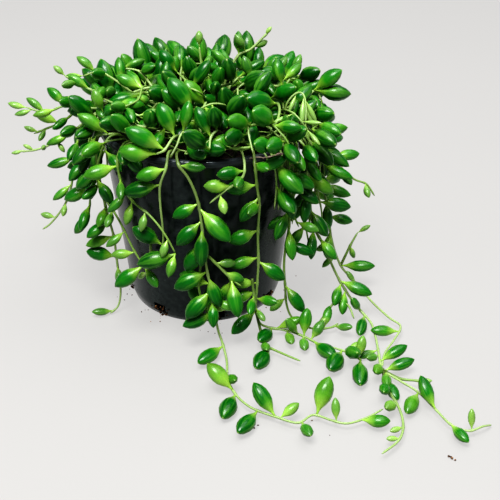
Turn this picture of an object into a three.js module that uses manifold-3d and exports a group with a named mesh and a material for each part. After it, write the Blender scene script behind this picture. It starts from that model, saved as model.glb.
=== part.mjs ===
// A potted trailing succulent: tear-shaped leaves on thin stems that fill a plastic nursery pot,
// spill over its rim and, at the front right, run out over the surface the pot stands on.
// Millimetres, +Z up. The origin is the centre of the pot's base; -Y is the front.
import * as THREE from 'three';
import { mergeVertices } from 'three/addons/utils/BufferGeometryUtils.js';
import Module from 'manifold-3d';

const wasm = await Module();
wasm.setup();

const DEG = Math.PI / 180;
const GAP = 0.3; // between touching pieces

// Pot: a tapered tub with a chamfered foot and a thicker band at the rim.
const RIM_RADIUS = 52.5;
const WALL_TOP_RADIUS = 51.3; // outside, just under the band
const WALL_FOOT_RADIUS = 41.5; // outside, at the top of the chamfer
const BASE_RADIUS = 40;
const POT_HEIGHT = 98;
const BAND_HEIGHT = 3.6;
const CHAMFER_HEIGHT = 5;
const WALL = 1.5;
const FLOOR = 2;
const POT_SEGMENTS = 32;
const DRAIN_COUNT = 8;
const DRAIN_WIDTH = 7;
const DRAIN_HEIGHT = 5;
const DRAIN_FIRST_ANGLE = -123;

// Soil: fills the pot to a few millimetres under the rim.
const SOIL_TOP = 91;
const SOIL_SEGMENTS = 22;
const HOLE_RADIUS = 2.5;
const HOLE_DEPTH = 4.2;
const HOLE_SIDES = 4;

// Stems and leaves.
const STEM_RADIUS = 0.85;
const STEM_SIDES = 3;
const STEM_STEP = 9;
const LEAF_SIDES = 4;
const LEAF_WIDTH = 0.48; // of the leaf's length
const LEAF_THICKNESS = 0.86; // of the leaf's width
const LEAF_SINK = 0.5; // how far the root of a leaf passes the stem's centre line
const LEAF_WIDEST = 0.46; // along the leaf
// [how far along the leaf, radius as a share of the half width]
const LEAF_PROFILE = [[0, 0], [0.3, 0.86], [0.64, 0.95], [1, 0]];
const LEAF_BALLS = [[0.14, 0.3], [0.3, 0.8], [0.46, 1], [0.62, 0.95], [0.78, 0.65], [0.92, 0.28]];
const SPREAD = 58; // between a leaf and its stem, where a rule sets it
const GOLDEN_ANGLE = 137.5;

// Where a stem leaves the soil and crosses the rim: [distance from the pot's axis, height].
const RIM_CROSSING = [[42.3, 87.4], [42.5, 92.5], [46.2, 99.6], [52.5, 101.6]];

// Stems that show one by one. angle: where the stem crosses the rim, 0 is +X and -90 the front.
// route: its points past the rim. leaves: [place on the route, heading, rise, length], where the
// heading is a compass angle like the one above and the rise is an angle above the horizontal.
// A point without a height lies on the surface, propped on its leaves at LYING_HEIGHT.
const LYING_HEIGHT = 4;
const STRANDS = [
  { name: 'strand_front_left', stems: [
    { angle: -104.5,
      route: [[-14, -56.5, 96.5], [-17, -56, 88], [-17.5, -55, 78], [-17, -54.5, 67], [-17, -53.5, 57],
        [-19, -52.5, 48]],
      leaves: [[0, 190, -15, 14], [1, 180, -12, 17], [4.3, 180, 35, 17], [5, 205, -25, 10]] },
  ] },
  { name: 'strand_front_long', stems: [
    { angle: -100.2,
      route: [[-8, -57.5, 98.8], [-4.2, -59, 94], [-1.4, -59.5, 88], [0.6, -59.5, 81], [1.6, -59.5, 73.5], [3, -60, 59],
        [4, -60.5, 46], [5.5, -61, 37], [6.5, -61, 28], [8, -61, 17], [9.5, -61.5, 9], [11.5, -66, 5.6],
        [14, -78], [15, -93], [19, -104], [24, -111], [29, -115],
        [37, -119], [47, -123], [54, -117.5], [62, -121], [69, -123],
        [78, -119], [86, -113]],
      leaves: [[0.05, -5, -2, 12], [3.1, 185, -30, 14], [3.5, -25, -42, 20], [4.2, 200, -40, 15],
        [4.45, -100, -72, 17], [4.95, 205, -58, 17], [6.2, 187, -28, 18], [6.5, -25, -70, 15],
        [7, 190, -8, 18], [7.4, 205, -45, 17], [8, -80, -50, 13], [8.05, -15, -15, 11], [8.7, 195, -20, 17],
        [11.2, -132, -3, 18], [12.8, -70, 25, 13], [13.7, 150, 40, 17], [13.95, -108, 2, 17],
        [16, -118, 1, 18], [17, 135, 38, 17], [17.2, 30, 25, 11], [18.2, -75, 12, 12],
        [19.2, 62, 52, 18], [20.3, 95, 60, 10], [21.7, -12, 4, 13]] },
    { route: [[3.6, -60.3, 54], [9, -62, 49], [16, -61, 40], [21, -60.5, 35.5]],
      leaves: [[0.9, 15, -10, 10], [2, -95, -72, 17], [1.5, -10, -45, 12]] },
  ] },
  { name: 'strand_front_right', stems: [
    { angle: -61,
      route: [[26.8, -53.8, 96.5], [27.8, -53, 86], [29, -52.5, 76], [28.5, -52.5, 61], [29, -52, 44],
        [28.5, -52, 31], [28, -52, 18], [30, -52, 8.5], [35, -51.5, 5], [45, -53],
        [53, -58], [60, -64], [67, -67], [74, -71], [80, -77]],
      leaves: [[-0.2, -60, 10, 13], [0.2, -100, 15, 14], [0.9, 185, -8, 14], [1.6, 200, -50, 14], [1.95, -110, 10, 13], [2.9, 190, -22, 15],
        [3.8, 195, -12, 14], [3.95, -10, -32, 16], [4.9, 195, 8, 12], [5.3, 188, -15, 13], [5.6, -40, 15, 13],
        [6.2, -140, -25, 17], [8.2, -112, 10, 16], [8.35, 2, 24, 14], [8.9, -80, 4, 12],
        [9.6, 92, 60, 12], [9.95, 80, 62, 14], [9.9, -89, 0, 11], [10.4, 40, 40, 11],
        [10.6, -58, 5, 17], [12.57, -112, 2, 19], [12.95, -92, 0, 16], [12.91, 35, 13, 9],
        [13.76, -148, 2, 11], [13.9, -97, 3, 19]] },
    { route: [[28, -52, 16], [31, -59, 6.5], [33.5, -66], [37, -69], [44, -74], [50, -78]],
      leaves: [[1.6, -85, 15, 12], [2.6, -114, 2, 17]] },
  ] },
  { name: 'strand_right_corner', stems: [
    { angle: -44,
      route: [[41.5, -40.5, 96.5], [43, -41, 80], [44, -41.5, 61], [42.5, -42.5, 48], [42, -43, 37],
        [43, -42.5, 24], [44, -42, 13], [47, -43, 5.5], [53, -48], [59, -51], [67, -49.5],
        [71, -46]],
      leaves: [[0.5, -20, -30, 14], [1, -75, -50, 15], [1.6, -130, -50, 15], [2.2, -80, -55, 15],
        [2.8, -10, -22, 14], [4.9, -25, -50, 16], [5.6, 215, -20, 10], [7.93, 23, 69, 9],
        [9.15, 28, 52, 7], [9.5, 70, 40, 12], [10.3, -35, 20, 11]] },
  ] },
  { name: 'strand_right_long', stems: [
    { angle: -30,
      route: [[50, -30, 96.5], [53, -31, 80], [56, -31.5, 56], [62, -31.5, 43], [70, -32, 25],
        [77, -33, 13], [83, -36.5, 6.2], [88, -45], [89, -58], [89, -71], [89.5, -84],
        [97, -93], [104, -101], [110, -113], [115, -123], [122, -127],
        [129, -124], [134, -120, 1.3]],
      leaves: [[0.4, -60, -30, 15], [0.9, 0, -40, 15], [1.3, -110, -50, 15], [1.7, -20, -55, 16],
        [2.2, -100, -50, 15], [2.7, -40, -40, 14], [4.25, -19, -14, 18], [4.35, -109, -25, 14],
        [4.7, -101, -30, 13], [6.1, -160, 35, 12], [6.4, -105, -4, 15], [8.8, -162, 10, 11], [9.15, -138, 3, 11],
        [9.5, 25, 22, 15], [9.7, -115, 12, 13], [10.1, 18, 14, 15], [10.2, -95, 6, 12],
        [12, -117, 2, 16], [13, 138, 30, 15], [13.94, -62, 0, 13], [15.2, 92, 60, 9]] },
    { angle: -15,
      route: [[53.5, -14, 97], [58, -12.5, 80], [65, -9, 54], [69, -6, 31], [75, -4.5, 14], [82.5, -7.5, 6],
        [91, -26], [98, -40], [103, -48], [98, -60], [92, -71], [89.3, -82]],
      leaves: [[0.4, -60, -20, 15], [0.8, 20, -30, 16], [1.1, -70, -40, 16], [1.5, 0, -30, 15],
        [1.9, -80, -55, 15], [2.3, 15, -20, 14], [2.7, -100, -50, 14], [3.1, -134, -15, 9],
        [3.5, -153, -41, 10], [4, -7, 4, 17], [5.15, 91, 65, 9],
        [8.4, -172, 10, 15]] },
    { route: [[89.5, -84], [89.5, -96], [93.5, -113], [93.5, -125], [90, -134],
      [82, -142]],
      leaves: [[0.6, -70, 5, 14], [0.95, -100, 22, 13], [1.7, -125, 4, 11], [3, -150, 6, 7],
        [3.8, 190, 6, 6]] },
    { route: [[90, -85.5], [97, -91], [104, -93.5, 5], [110, -95, 5]], leaves: [[2.2, -5, 8, 6]] },
  ] },
  { name: 'strand_right_side', stems: [
    { angle: 2,
      route: [[57, 2, 97.5], [63, 1, 86], [70, 0, 74], [79, 0, 65], [86, 0, 62], [91, 0, 55]],
      leaves: [[0.3, -50, -20, 15], [0.8, 40, -20, 15], [1.2, -70, -45, 15], [1.7, 20, 0, 14],
        [2.2, -60, -30, 12], [3.9, -80, -35, 9]] },
  ] },
  { name: 'strand_left_drooping', stems: [
    { angle: -170,
      route: [[-57, -9.5, 98.5], [-61, -10, 94], [-63.5, -10, 86], [-66, -10, 74], [-69.5, -10, 60],
        [-74, -10, 51], [-81, -10, 42], [-86, -10, 38]],
      leaves: [[1.6, -100, -20, 14], [2.5, 185, -20, 14], [2.9, -30, -25, 15], [3.6, 200, -40, 12],
        [4.6, -100, -30, 8], [5.6, 170, 10, 8]] },
  ] },
  { name: 'strand_left_inner', stems: [
    { angle: -161,
      route: [[-54.5, -18, 97], [-56, -19, 85], [-56.5, -20, 72], [-57.5, -21, 58], [-60, -22, 47]],
      leaves: [[0.5, -100, -30, 16], [1, 180, -35, 15], [1.6, -60, -50, 15], [2.2, 190, -30, 15],
        [2.9, -110, -35, 14], [3.4, 195, -50, 13]] },
  ] },
  { name: 'strand_left_long', stems: [
    { angle: -152,
      route: [[-50.5, -26.8, 95], [-50.5, -27, 80], [-49, -27.5, 67], [-47, -27.5, 54], [-45, -28.5, 44],
        [-44.5, -29, 34], [-44, -29, 23], [-43.5, -29.5, 12], [-45, -31.5, 4], [-49, -35, 1.3]],
      leaves: [[1.4, 190, -20, 14], [2.4, -100, -30, 13], [3, 195, -25, 14], [3.9, 188, -18, 15],
        [5.1, 182, 12, 15], [5.6, -80, -40, 10], [8.6, 200, 2, 11]] },
  ] },
  { name: 'strand_left_front', stems: [
    { angle: -143,
      route: [[-46, -34.8, 96.5], [-50, -33, 84], [-49.5, -34, 76], [-45, -39.5, 70], [-40.5, -43.5, 65],
        [-36.5, -46.5, 58], [-32.5, -49.5, 50], [-27, -52.5, 41]],
      leaves: [[0.8, -150, -40, 15], [1.5, -90, -45, 14], [3.6, -100, -20, 11], [5, -150, -35, 11],
        [6.2, 185, -10, 11], [6.9, 197, -35, 16], [7, -50, -30, 12]] },
  ] },
  { name: 'strand_front_corner', stems: [
    { angle: -131,
      route: [[-37.5, -45.8, 96.5], [-37, -46, 87], [-34.8, -47.5, 80.5], [-30.5, -50, 75.5],
        [-22.7, -54.5, 71], [-16, -58.5, 64], [-10.6, -59.5, 53]],
      leaves: [[0.4, 200, -10, 15], [1.1, -60, -20, 12], [2.2, 200, -45, 12], [2.85, -120, -60, 11],
        [3.7, -110, -60, 9], [5.3, -130, -60, 9], [5.95, -115, -50, 12], [6, 187, -15, 18]] },
  ] },
  { name: 'strand_front_short', stems: [
    { angle: -67,
      route: [[22, -57, 98], [20.5, -59, 93], [13, -61.5, 88], [6, -62.5, 82]],
      leaves: [[0.3, 200, 0, 13], [0.9, 180, 18, 12], [1.6, 187, 0, 12], [2.3, -70, -40, 9]] },
  ] },
  { name: 'sprig_left_upper', stems: [
    { angle: 177,
      route: [[-58, 2, 102.5], [-65, 1, 105], [-72, 0, 103.5], [-80, 0, 100.5], [-89, 0, 103]],
      leaves: [[0.9, -110, 25, 14], [1.6, 150, 35, 13], [2.3, 200, -15, 12], [3, 160, 35, 11],
        [3.7, 185, -20, 9], [4, 178, 10, 9]] },
  ] },
  { name: 'sprig_left_rear', stems: [
    { angle: 167,
      route: [[-57, 13, 101], [-66, 12, 97], [-74, 11, 91], [-83, 11, 87], [-90, 11, 84]],
      leaves: [[0.8, 170, 20, 13], [1.5, -120, -10, 13], [2.2, 180, 25, 12], [3, -110, -20, 9],
        [3.6, 175, 15, 8]] },
  ] },
  { name: 'sprig_left_lower', stems: [
    { angle: -178,
      route: [[-59, -2.5, 97.5], [-66, -2, 91], [-74, -1, 86], [-83, 0, 81], [-91, 0, 79], [-98, 0, 79]],
      leaves: [[0.6, -100, -10, 14], [1.2, 185, -25, 13], [2.2, -90, 20, 7], [2.9, -90, 20, 7],
        [3.6, 175, 25, 6], [4.4, 190, -10, 6]] },
  ] },
];

// The other stems hang plainly from the rim: [angle at the rim, height of the tip].
const HANGING = [
  [-52, 62], [-37, 48], [-22, 42], [-8, 50], [11, 44], [21, 58], [32, 40], [43, 55], [55, 36], [67, 50],
  [79, 42], [91, 58], [103, 38], [115, 52], [127, 44], [139, 60], [150, 48], [159, 56],
];
const HANG_RADIUS = 57;
const HANG_STEP = 13; // between the points of a hanging stem's route
const HANG_SWAY = 2.2;
const HANG_LEAF_STEP = 11.5;
const HANG_LEAF_LENGTH = 16.5;

// Crown: crowded stems that rise from a low heart in the middle and arch out over the rim.
const CROWN_CENTRE = [1.5, 0.5];
const HEART_RADIUS = 37;
const HEART_HEIGHT = 14;
const HEART_SEGMENTS = 14;
const HEART_PEG_RADIUS = 6;
const HEART_LEAVES = 14;
const CROWN_STEMS = 12;
const CROWN_REACH = 55;
const CROWN_SHIFT = 4.5; // of the tips to the right
const CROWN_EDGE_HEIGHT = 104.5;
const CROWN_RISE = 7.5; // of the middle over the edge
const CROWN_DROOP = 1; // of the outermost tips
const CROWN_LEAF_STEP = 14;
const CROWN_LEAF_LENGTH = 18;
const SPRIGS = [
  { route: [[8, 12, 103], [13, 17, 117], [18, 20, 125], [24, 20, 128], [30, 20, 134], [33, 20, 137]],
    leaves: [[1.2, 170, 40, 12], [2, 100, 70, 12], [2.6, 150, 60, 10], [3.2, 20, 20, 8], [4.4, 0, 60, 5]] },
  { route: [[-1, 11, 103], [-1, 15, 118], [-2, 17, 130]], leaves: [[1, 60, 20, 12], [2, 95, 80, 8]] },
  { route: [[27, 1, 98], [48, 2, 103.5], [53, 3.5, 108.5], [56.5, 4, 112.5]],
    leaves: [[2.9, -9, 43, 18], [3, -8, -5, 18], [2.2, -70, 0, 14]] },
  { route: [[-20, 6, 101], [-34, 6, 108], [-43, 6, 115], [-52, 6, 120], [-60, 6, 118]],
    leaves: [[1.8, 100, 50, 13], [2.6, -110, 20, 14], [3.2, 165, 40, 11], [4, 190, 0, 9]] },
  { route: [[-24, -3, 100], [-40, -4, 107], [-50, -2, 111], [-60, 0, 115], [-68, 0, 120]],
    leaves: [[1.9, -90, 30, 14], [2.6, 170, 30, 12], [3.3, -120, 10, 10], [4, 170, 40, 7]] },
  { route: [[-18, 4, 101], [-16, -13, 114], [-28, -9, 115], [-44, -3, 111.5]],
    leaves: [[1, -115, 30, 17], [2, -165, -10, 17], [3, -95, 30, 12]] },
  { route: [[-16, -18, 99], [-24, -40, 109.5], [-36, -33, 110], [-45, -24, 109]],
    leaves: [[1, -65, 50, 15], [2, -120, 10, 15], [3, -65, 35, 13]] },
  { route: [[-5, -24, 99], [-10, -50, 109.5], [-14, -58, 106.5], [-18, -57, 104]],
    leaves: [[1, 145, 60, 16], [2, 175, 30, 19], [3, -175, 5, 16]] },
  { route: [[-10, -4, 102], [-12, -8, 115.5], [-9, -30, 114], [-2, -34, 115.5]],
    leaves: [[1, -110, 50, 18], [2, -90, 0, 14], [3, 160, 50, 18]] },
  { route: [[-6, 4, 102], [-5, -7, 117], [-14, 20, 115.5]], leaves: [[1, 25, 50, 15], [2, 165, 50, 14]] },
  { route: [[4, 2, 102], [7.5, -6, 116], [15, -1, 117.5], [18, 9, 117]],
    leaves: [[1, -80, 55, 17], [2, -105, 55, 18], [3, 10, 30, 14]] },
  { route: [[6, -24, 99], [9, -47, 111.5], [6.5, -51.5, 110], [6, -56, 106]],
    leaves: [[1, -100, 60, 15], [2, 145, 60, 15], [3, -135, 40, 18]] },
  { route: [[20, -6, 101], [21, -22, 116.5], [25, -24, 117], [29, 8, 116]],
    leaves: [[1, -80, -15, 16], [2, 30, 55, 15], [3, -60, -10, 15]] },
  { route: [[24, -10, 99], [37, -22, 115], [36, -39, 112], [25, -43, 112.5], [22.5, -48, 110]],
    leaves: [[1, -140, 20, 20], [2, -135, 35, 19], [3, -130, 25, 17], [4, -125, 15, 17]] },
  { route: [[24, 8, 99], [36, 18, 114.5], [42, 21, 113], [48, 21, 112]],
    leaves: [[1, 25, 55, 11], [2, -135, 25, 18], [3, -45, 30, 17]] },
  { route: [[27, -8, 98], [54, -12, 106], [57, -19, 104], [54, -29, 105]],
    leaves: [[1, -45, 15, 15], [2, -55, 0, 16], [3, -65, 0, 19]] },
  { route: [[20, -20, 99], [40, -43, 105], [40, -47, 106.5], [34.5, -50, 105]],
    leaves: [[1, -70, -10, 18], [2, -120, 10, 15], [3, -125, 25, 15]] },
];

// Room that pieces keep between them, and that leaves of one piece may overlap by.
const CLEARANCE = 0.45;
const OWN_OVERLAP = 0.5;
const CROWDED_OVERLAP = 2.6;
const TURNS = [0, 25, -25, 50, -50, 80, -80, 115, -115];

const COLOURS = {
  pot: { color: 0x24282b, roughness: 0.25, metalness: 0 },
  soil: { color: 0x33261c, roughness: 0.95, metalness: 0 },
  plant: { color: 0x2f7a2b, roughness: 0.35, metalness: 0 },
};

// A small repeatable random draw from 0 to 1.
let drawState = 20240611;
function draw() {
  drawState = (Math.imul(drawState, 1664525) + 1013904223) >>> 0;
  return drawState / 4294967296;
}

function jitter(size) {
  return (2 * draw() - 1) * size;
}

function polar(radius, angle, height) {
  return new THREE.Vector3(radius * Math.cos(angle * DEG), radius * Math.sin(angle * DEG), height);
}

function direction(heading, rise) {
  return polar(Math.cos(rise * DEG), heading, Math.sin(rise * DEG));
}

// ---- solids ----

function solidOf(geometry) {
  const bare = geometry.clone();
  bare.deleteAttribute('normal');
  bare.deleteAttribute('uv');
  const merged = mergeVertices(bare, 1e-4);
  const corners = merged.index.array;
  const triVerts = [];
  for (let i = 0; i < corners.length; i += 3) {
    const [a, b, c] = [corners[i], corners[i + 1], corners[i + 2]];
    if (a !== b && b !== c && c !== a) triVerts.push(a, b, c);
  }
  return new wasm.Manifold(new wasm.Mesh({
    numProp: 3,
    vertProperties: new Float32Array(merged.attributes.position.array),
    triVerts: new Uint32Array(triVerts),
  }));
}

// The largest body alone, without sealed hollows or loose scraps.
function wholeBody(solid) {
  const bodies = solid.decompose();
  return bodies.reduce((best, body) => (body.volume() > best.volume() ? body : best));
}

function meshOf(name, solid, colour) {
  const { vertProperties, triVerts } = solid.getMesh();
  const geometry = new THREE.BufferGeometry();
  geometry.setAttribute('position', new THREE.BufferAttribute(vertProperties, 3));
  geometry.setIndex(new THREE.BufferAttribute(triVerts, 1));
  geometry.computeVertexNormals();
  const mesh = new THREE.Mesh(geometry, new THREE.MeshStandardMaterial(colour));
  mesh.name = name;
  return mesh;
}

// Turned about the Z axis from a closed [radius, height] outline.
function turned(outline, segments) {
  const points = outline.map(([radius, height]) => new THREE.Vector2(radius, height));
  return new THREE.LatheGeometry(points, segments).rotateX(90 * DEG);
}

// ---- pot and soil ----

function wallRadius(height) {
  if (height > POT_HEIGHT - BAND_HEIGHT - 1) return RIM_RADIUS;
  const share = (height - CHAMFER_HEIGHT) / (POT_HEIGHT - BAND_HEIGHT - CHAMFER_HEIGHT);
  return WALL_FOOT_RADIUS + Math.max(share, 0) * (WALL_TOP_RADIUS - WALL_FOOT_RADIUS);
}

function potSolid() {
  const bandFoot = POT_HEIGHT - BAND_HEIGHT;
  const outline = [
    [0, 0], [BASE_RADIUS, 0], [WALL_FOOT_RADIUS, CHAMFER_HEIGHT],
    [WALL_TOP_RADIUS, bandFoot], [RIM_RADIUS, bandFoot + 0.4], [RIM_RADIUS, POT_HEIGHT - 0.8],
    [RIM_RADIUS - 0.8, POT_HEIGHT], [WALL_TOP_RADIUS - WALL + 0.4, POT_HEIGHT],
    [WALL_TOP_RADIUS - WALL, bandFoot], [WALL_FOOT_RADIUS - WALL, CHAMFER_HEIGHT],
    [BASE_RADIUS - WALL - 1, FLOOR], [0, FLOOR],
  ];
  let pot = solidOf(turned(outline, POT_SEGMENTS));
  for (let i = 0; i < DRAIN_COUNT; i += 1) {
    const slot = new THREE.BoxGeometry(8, DRAIN_WIDTH, DRAIN_HEIGHT);
    slot.translate(WALL_FOOT_RADIUS, 0, FLOOR + 0.6 + DRAIN_HEIGHT / 2);
    slot.rotateZ((DRAIN_FIRST_ANGLE + (i * 360) / DRAIN_COUNT) * DEG);
    pot = pot.subtract(solidOf(slot));
  }
  return pot;
}

function soilSolid(holes) {
  const inner = (height) => wallRadius(height) - WALL - GAP;
  const outline = [
    [0, FLOOR + GAP], [BASE_RADIUS - WALL - 2, FLOOR + GAP],
    [WALL_FOOT_RADIUS - WALL - 0.6, CHAMFER_HEIGHT + 0.4],
    [inner(SOIL_TOP) - 0.2, SOIL_TOP - 0.6], [inner(SOIL_TOP) - 4, SOIL_TOP], [0, SOIL_TOP],
  ];
  let soil = solidOf(turned(outline, SOIL_SEGMENTS));
  for (const [x, y, radius, sides] of holes) {
    const hole = new THREE.CylinderGeometry(radius, radius, HOLE_DEPTH * 2, sides).rotateX(90 * DEG);
    soil = soil.subtract(solidOf(hole.translate(x, y, SOIL_TOP)));
  }
  return soil;
}

// ---- stems and leaves ----

function routePoint([x, y, z = LYING_HEIGHT]) {
  return new THREE.Vector3(x, y, z);
}

function curveThrough(points) {
  return new THREE.CatmullRomCurve3(points, false, 'catmullrom', 0.5);
}

function stemSolid(curve) {
  const section = new THREE.Shape();
  for (let i = 0; i < STEM_SIDES; i += 1) {
    const angle = (i / STEM_SIDES) * 360 * DEG;
    const corner = [STEM_RADIUS * 1.1 * Math.cos(angle), STEM_RADIUS * 1.1 * Math.sin(angle)];
    if (i === 0) section.moveTo(...corner);
    else section.lineTo(...corner);
  }
  const steps = Math.max(3, Math.round(curve.getLength() / STEM_STEP));
  return solidOf(new THREE.ExtrudeGeometry(section, { steps, extrudePath: curve }));
}

function leafSolid(leaf) {
  const halfWidth = (leaf.length * LEAF_WIDTH) / 2;
  const points = LEAF_PROFILE.map(([along, share]) =>
    new THREE.Vector2(share * halfWidth * 1.04, along * (leaf.length + LEAF_SINK) - LEAF_SINK));
  const shape = new THREE.LatheGeometry(points, LEAF_SIDES);
  const side = new THREE.Vector3().crossVectors(leaf.along, leaf.face).normalize();
  const normal = new THREE.Vector3().crossVectors(side, leaf.along);
  const frame = new THREE.Matrix4().makeBasis(side, leaf.along, normal.multiplyScalar(LEAF_THICKNESS));
  return solidOf(shape.applyMatrix4(frame.setPosition(leaf.root)));
}

// ---- room: every piece is a chain of balls, so that a new leaf can be tested against them ----

const balls = [];

function addBall(owner, centre, radius) {
  balls.push({ owner, centre, radius });
}

function stemBalls(owner, curve) {
  const count = Math.ceil(curve.getLength() / 1.5);
  for (let i = 0; i <= count; i += 1) addBall(owner, curve.getPoint(i / count), STEM_RADIUS);
}

function leafBalls(leaf) {
  const halfWidth = (leaf.length * LEAF_WIDTH) / 2;
  return LEAF_BALLS.map(([along, share]) => ({
    centre: leaf.root.clone().addScaledVector(leaf.along, along * leaf.length),
    radius: share * halfWidth,
  }));
}

function clearOfPot({ centre, radius }) {
  const outward = Math.hypot(centre.x, centre.y);
  if (centre.z - radius * LEAF_THICKNESS < 0.15) return false;
  if (centre.z - radius > POT_HEIGHT + GAP) return true;
  if (outward - radius > wallRadius(centre.z + radius) + GAP) return true;
  return outward + radius < WALL_TOP_RADIUS - WALL - GAP && centre.z - radius > SOIL_TOP + GAP;
}

// Lifts a leaf that lies on the surface just enough for its belly to clear it.
function liftedRise(root, rise, length) {
  const belly = (length * LEAF_WIDTH * LEAF_THICKNESS) / 2 + 0.3;
  const climb = THREE.MathUtils.clamp((belly - root.z) / (LEAF_WIDEST * length), -1, 1);
  return Math.max(rise, Math.asin(climb) / DEG);
}

// A leaf of its own piece may be overlapped a little, but not the first ball at its root.
function hasRoom(owner, leaf, ownOverlap) {
  return leafBalls(leaf).every((ball, index) => {
    if (index > 0 && !clearOfPot(ball)) return false;
    return balls.every((other) => {
      const own = other.owner === owner;
      if (own && (index < 3 || other.radius === STEM_RADIUS)) return true;
      const room = ball.centre.distanceTo(other.centre) - ball.radius - other.radius;
      return room > (own ? -ownOverlap : CLEARANCE);
    });
  });
}

// Turns a leaf about its stem until it has room; a leaf that never has is left out.
function placeLeaf(owner, root, tangent, along, face, length, ownOverlap = OWN_OVERLAP) {
  for (const turn of TURNS) {
    const turnedAlong = along.clone().applyAxisAngle(tangent, turn * DEG);
    const leaf = { root, along: turnedAlong, face, length };
    if (hasRoom(owner, leaf, ownOverlap)) {
      for (const ball of leafBalls(leaf)) addBall(owner, ball.centre, ball.radius);
      return leaf;
    }
  }
  return null;
}

// ---- routes by rule ----

function overRim(angle) {
  return RIM_CROSSING.map(([radius, height]) => polar(radius, angle, height));
}

function hangingRoute(angle, tipHeight) {
  const route = overRim(angle);
  const sweep = jitter(5);
  for (let height = POT_HEIGHT - 1.5, i = 0; height > tipHeight; height -= HANG_STEP, i += 1) {
    const swing = angle + sweep * Math.min(i / 3, 1) * 0.6 + (i ? jitter(HANG_SWAY) : 0);
    route.push(polar(HANG_RADIUS + (i ? jitter(1.2) + 0.6 * i : 0), swing, height));
  }
  return route;
}

function crownHeight(radius) {
  return CROWN_EDGE_HEIGHT + CROWN_RISE * (1 - (radius / CROWN_REACH) ** 3);
}

function crownRoute(index) {
  const angle = index * GOLDEN_ANGLE;
  const reach = CROWN_REACH * Math.sqrt((index + 2) / (CROWN_STEMS + 1.5));
  const swing = jitter(28);
  return [[0.3, 98], [0.52, 0], [0.76, 1.5], [1, 0]].map(([share, lift], i) => {
    const radius = Math.min(share * reach, i === 0 ? 20 : CROWN_REACH);
    const droop = i === 3 ? CROWN_DROOP * (radius / CROWN_REACH) ** 4 : 0;
    const point = polar(radius, angle + swing * share, i === 0 ? lift : crownHeight(radius) + lift - droop);
    point.x += CROWN_CENTRE[0] + CROWN_SHIFT * share;
    point.y += CROWN_CENTRE[1];
    return point;
  });
}

// ---- the plant ----

function stemRecord(owner, points, ruleStart) {
  const curve = curveThrough(points);
  stemBalls(owner, curve);
  return { owner, curve, last: points.length - 1, ruleStart };
}

function namedLeaf(stem, [place, heading, rise, length], offset) {
  const share = (place + offset) / stem.last;
  const root = stem.curve.getPoint(share);
  const tangent = stem.curve.getTangent(share);
  const outward = new THREE.Vector3(root.x, root.y, 0).normalize();
  const face = outward.setZ(root.z < 12 ? 2 : 0.4);
  const lifted = root.z < length ? liftedRise(root, rise, length) : rise;
  const ownOverlap = stem.owner === 'crown' ? CROWDED_OVERLAP : OWN_OVERLAP;
  return placeLeaf(stem.owner, root, tangent, direction(heading, lifted), face, length, ownOverlap);
}

// Leaves by rule: evenly along the stem, each turned on by the golden angle from the last and
// pulled a little towards the side that the piece leans to.
function ruledLeaves(stem, spacing, length, pull, lean) {
  const leaves = [];
  const total = stem.curve.getLength();
  const start = (stem.ruleStart / stem.last) * total;
  let clock = draw() * 360;
  for (let at = start; at <= total - 1; at += spacing * (1 + jitter(0.2))) {
    const share = Math.min(at / total, 1);
    const root = stem.curve.getPoint(share);
    const tangent = stem.curve.getTangent(share);
    const outward = lean(root);
    clock += GOLDEN_ANGLE;
    const across = new THREE.Vector3().crossVectors(tangent, outward).normalize();
    across.applyAxisAngle(tangent, clock * DEG);
    const along = tangent.clone().multiplyScalar(Math.cos(SPREAD * DEG));
    along.addScaledVector(across, Math.sin(SPREAD * DEG)).addScaledVector(outward, pull).normalize();
    const leafLength = length * (1 + jitter(0.16)) * (share > 0.9 ? 0.75 : 1);
    leaves.push(placeLeaf(stem.owner, root, tangent, along, outward, leafLength));
  }
  return leaves;
}

// Leaves that stand straight out of the heart, spread over its dome by the golden angle.
function heartLeaves() {
  const leaves = [];
  for (let i = 0; i < HEART_LEAVES; i += 1) {
    const share = (i + 0.5) / HEART_LEAVES;
    const steep = Math.acos(1 - share) / DEG;
    const angle = i * GOLDEN_ANGLE + jitter(10);
    const root = polar(HEART_RADIUS * 0.9 * Math.sin(steep * DEG), angle, SOIL_TOP + 2);
    root.add(new THREE.Vector3(...CROWN_CENTRE, HEART_HEIGHT * 0.85 * Math.cos(steep * DEG)));
    const outward = direction(angle, 90 - steep * 0.8);
    const along = direction(angle + jitter(140), 26 - steep * 0.2 + jitter(26));
    const tangent = new THREE.Vector3().crossVectors(outward, along).normalize();
    leaves.push(placeLeaf('crown', root, tangent, along, outward, CROWN_LEAF_LENGTH * (1 + jitter(0.15))));
  }
  return leaves.filter(Boolean);
}

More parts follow.
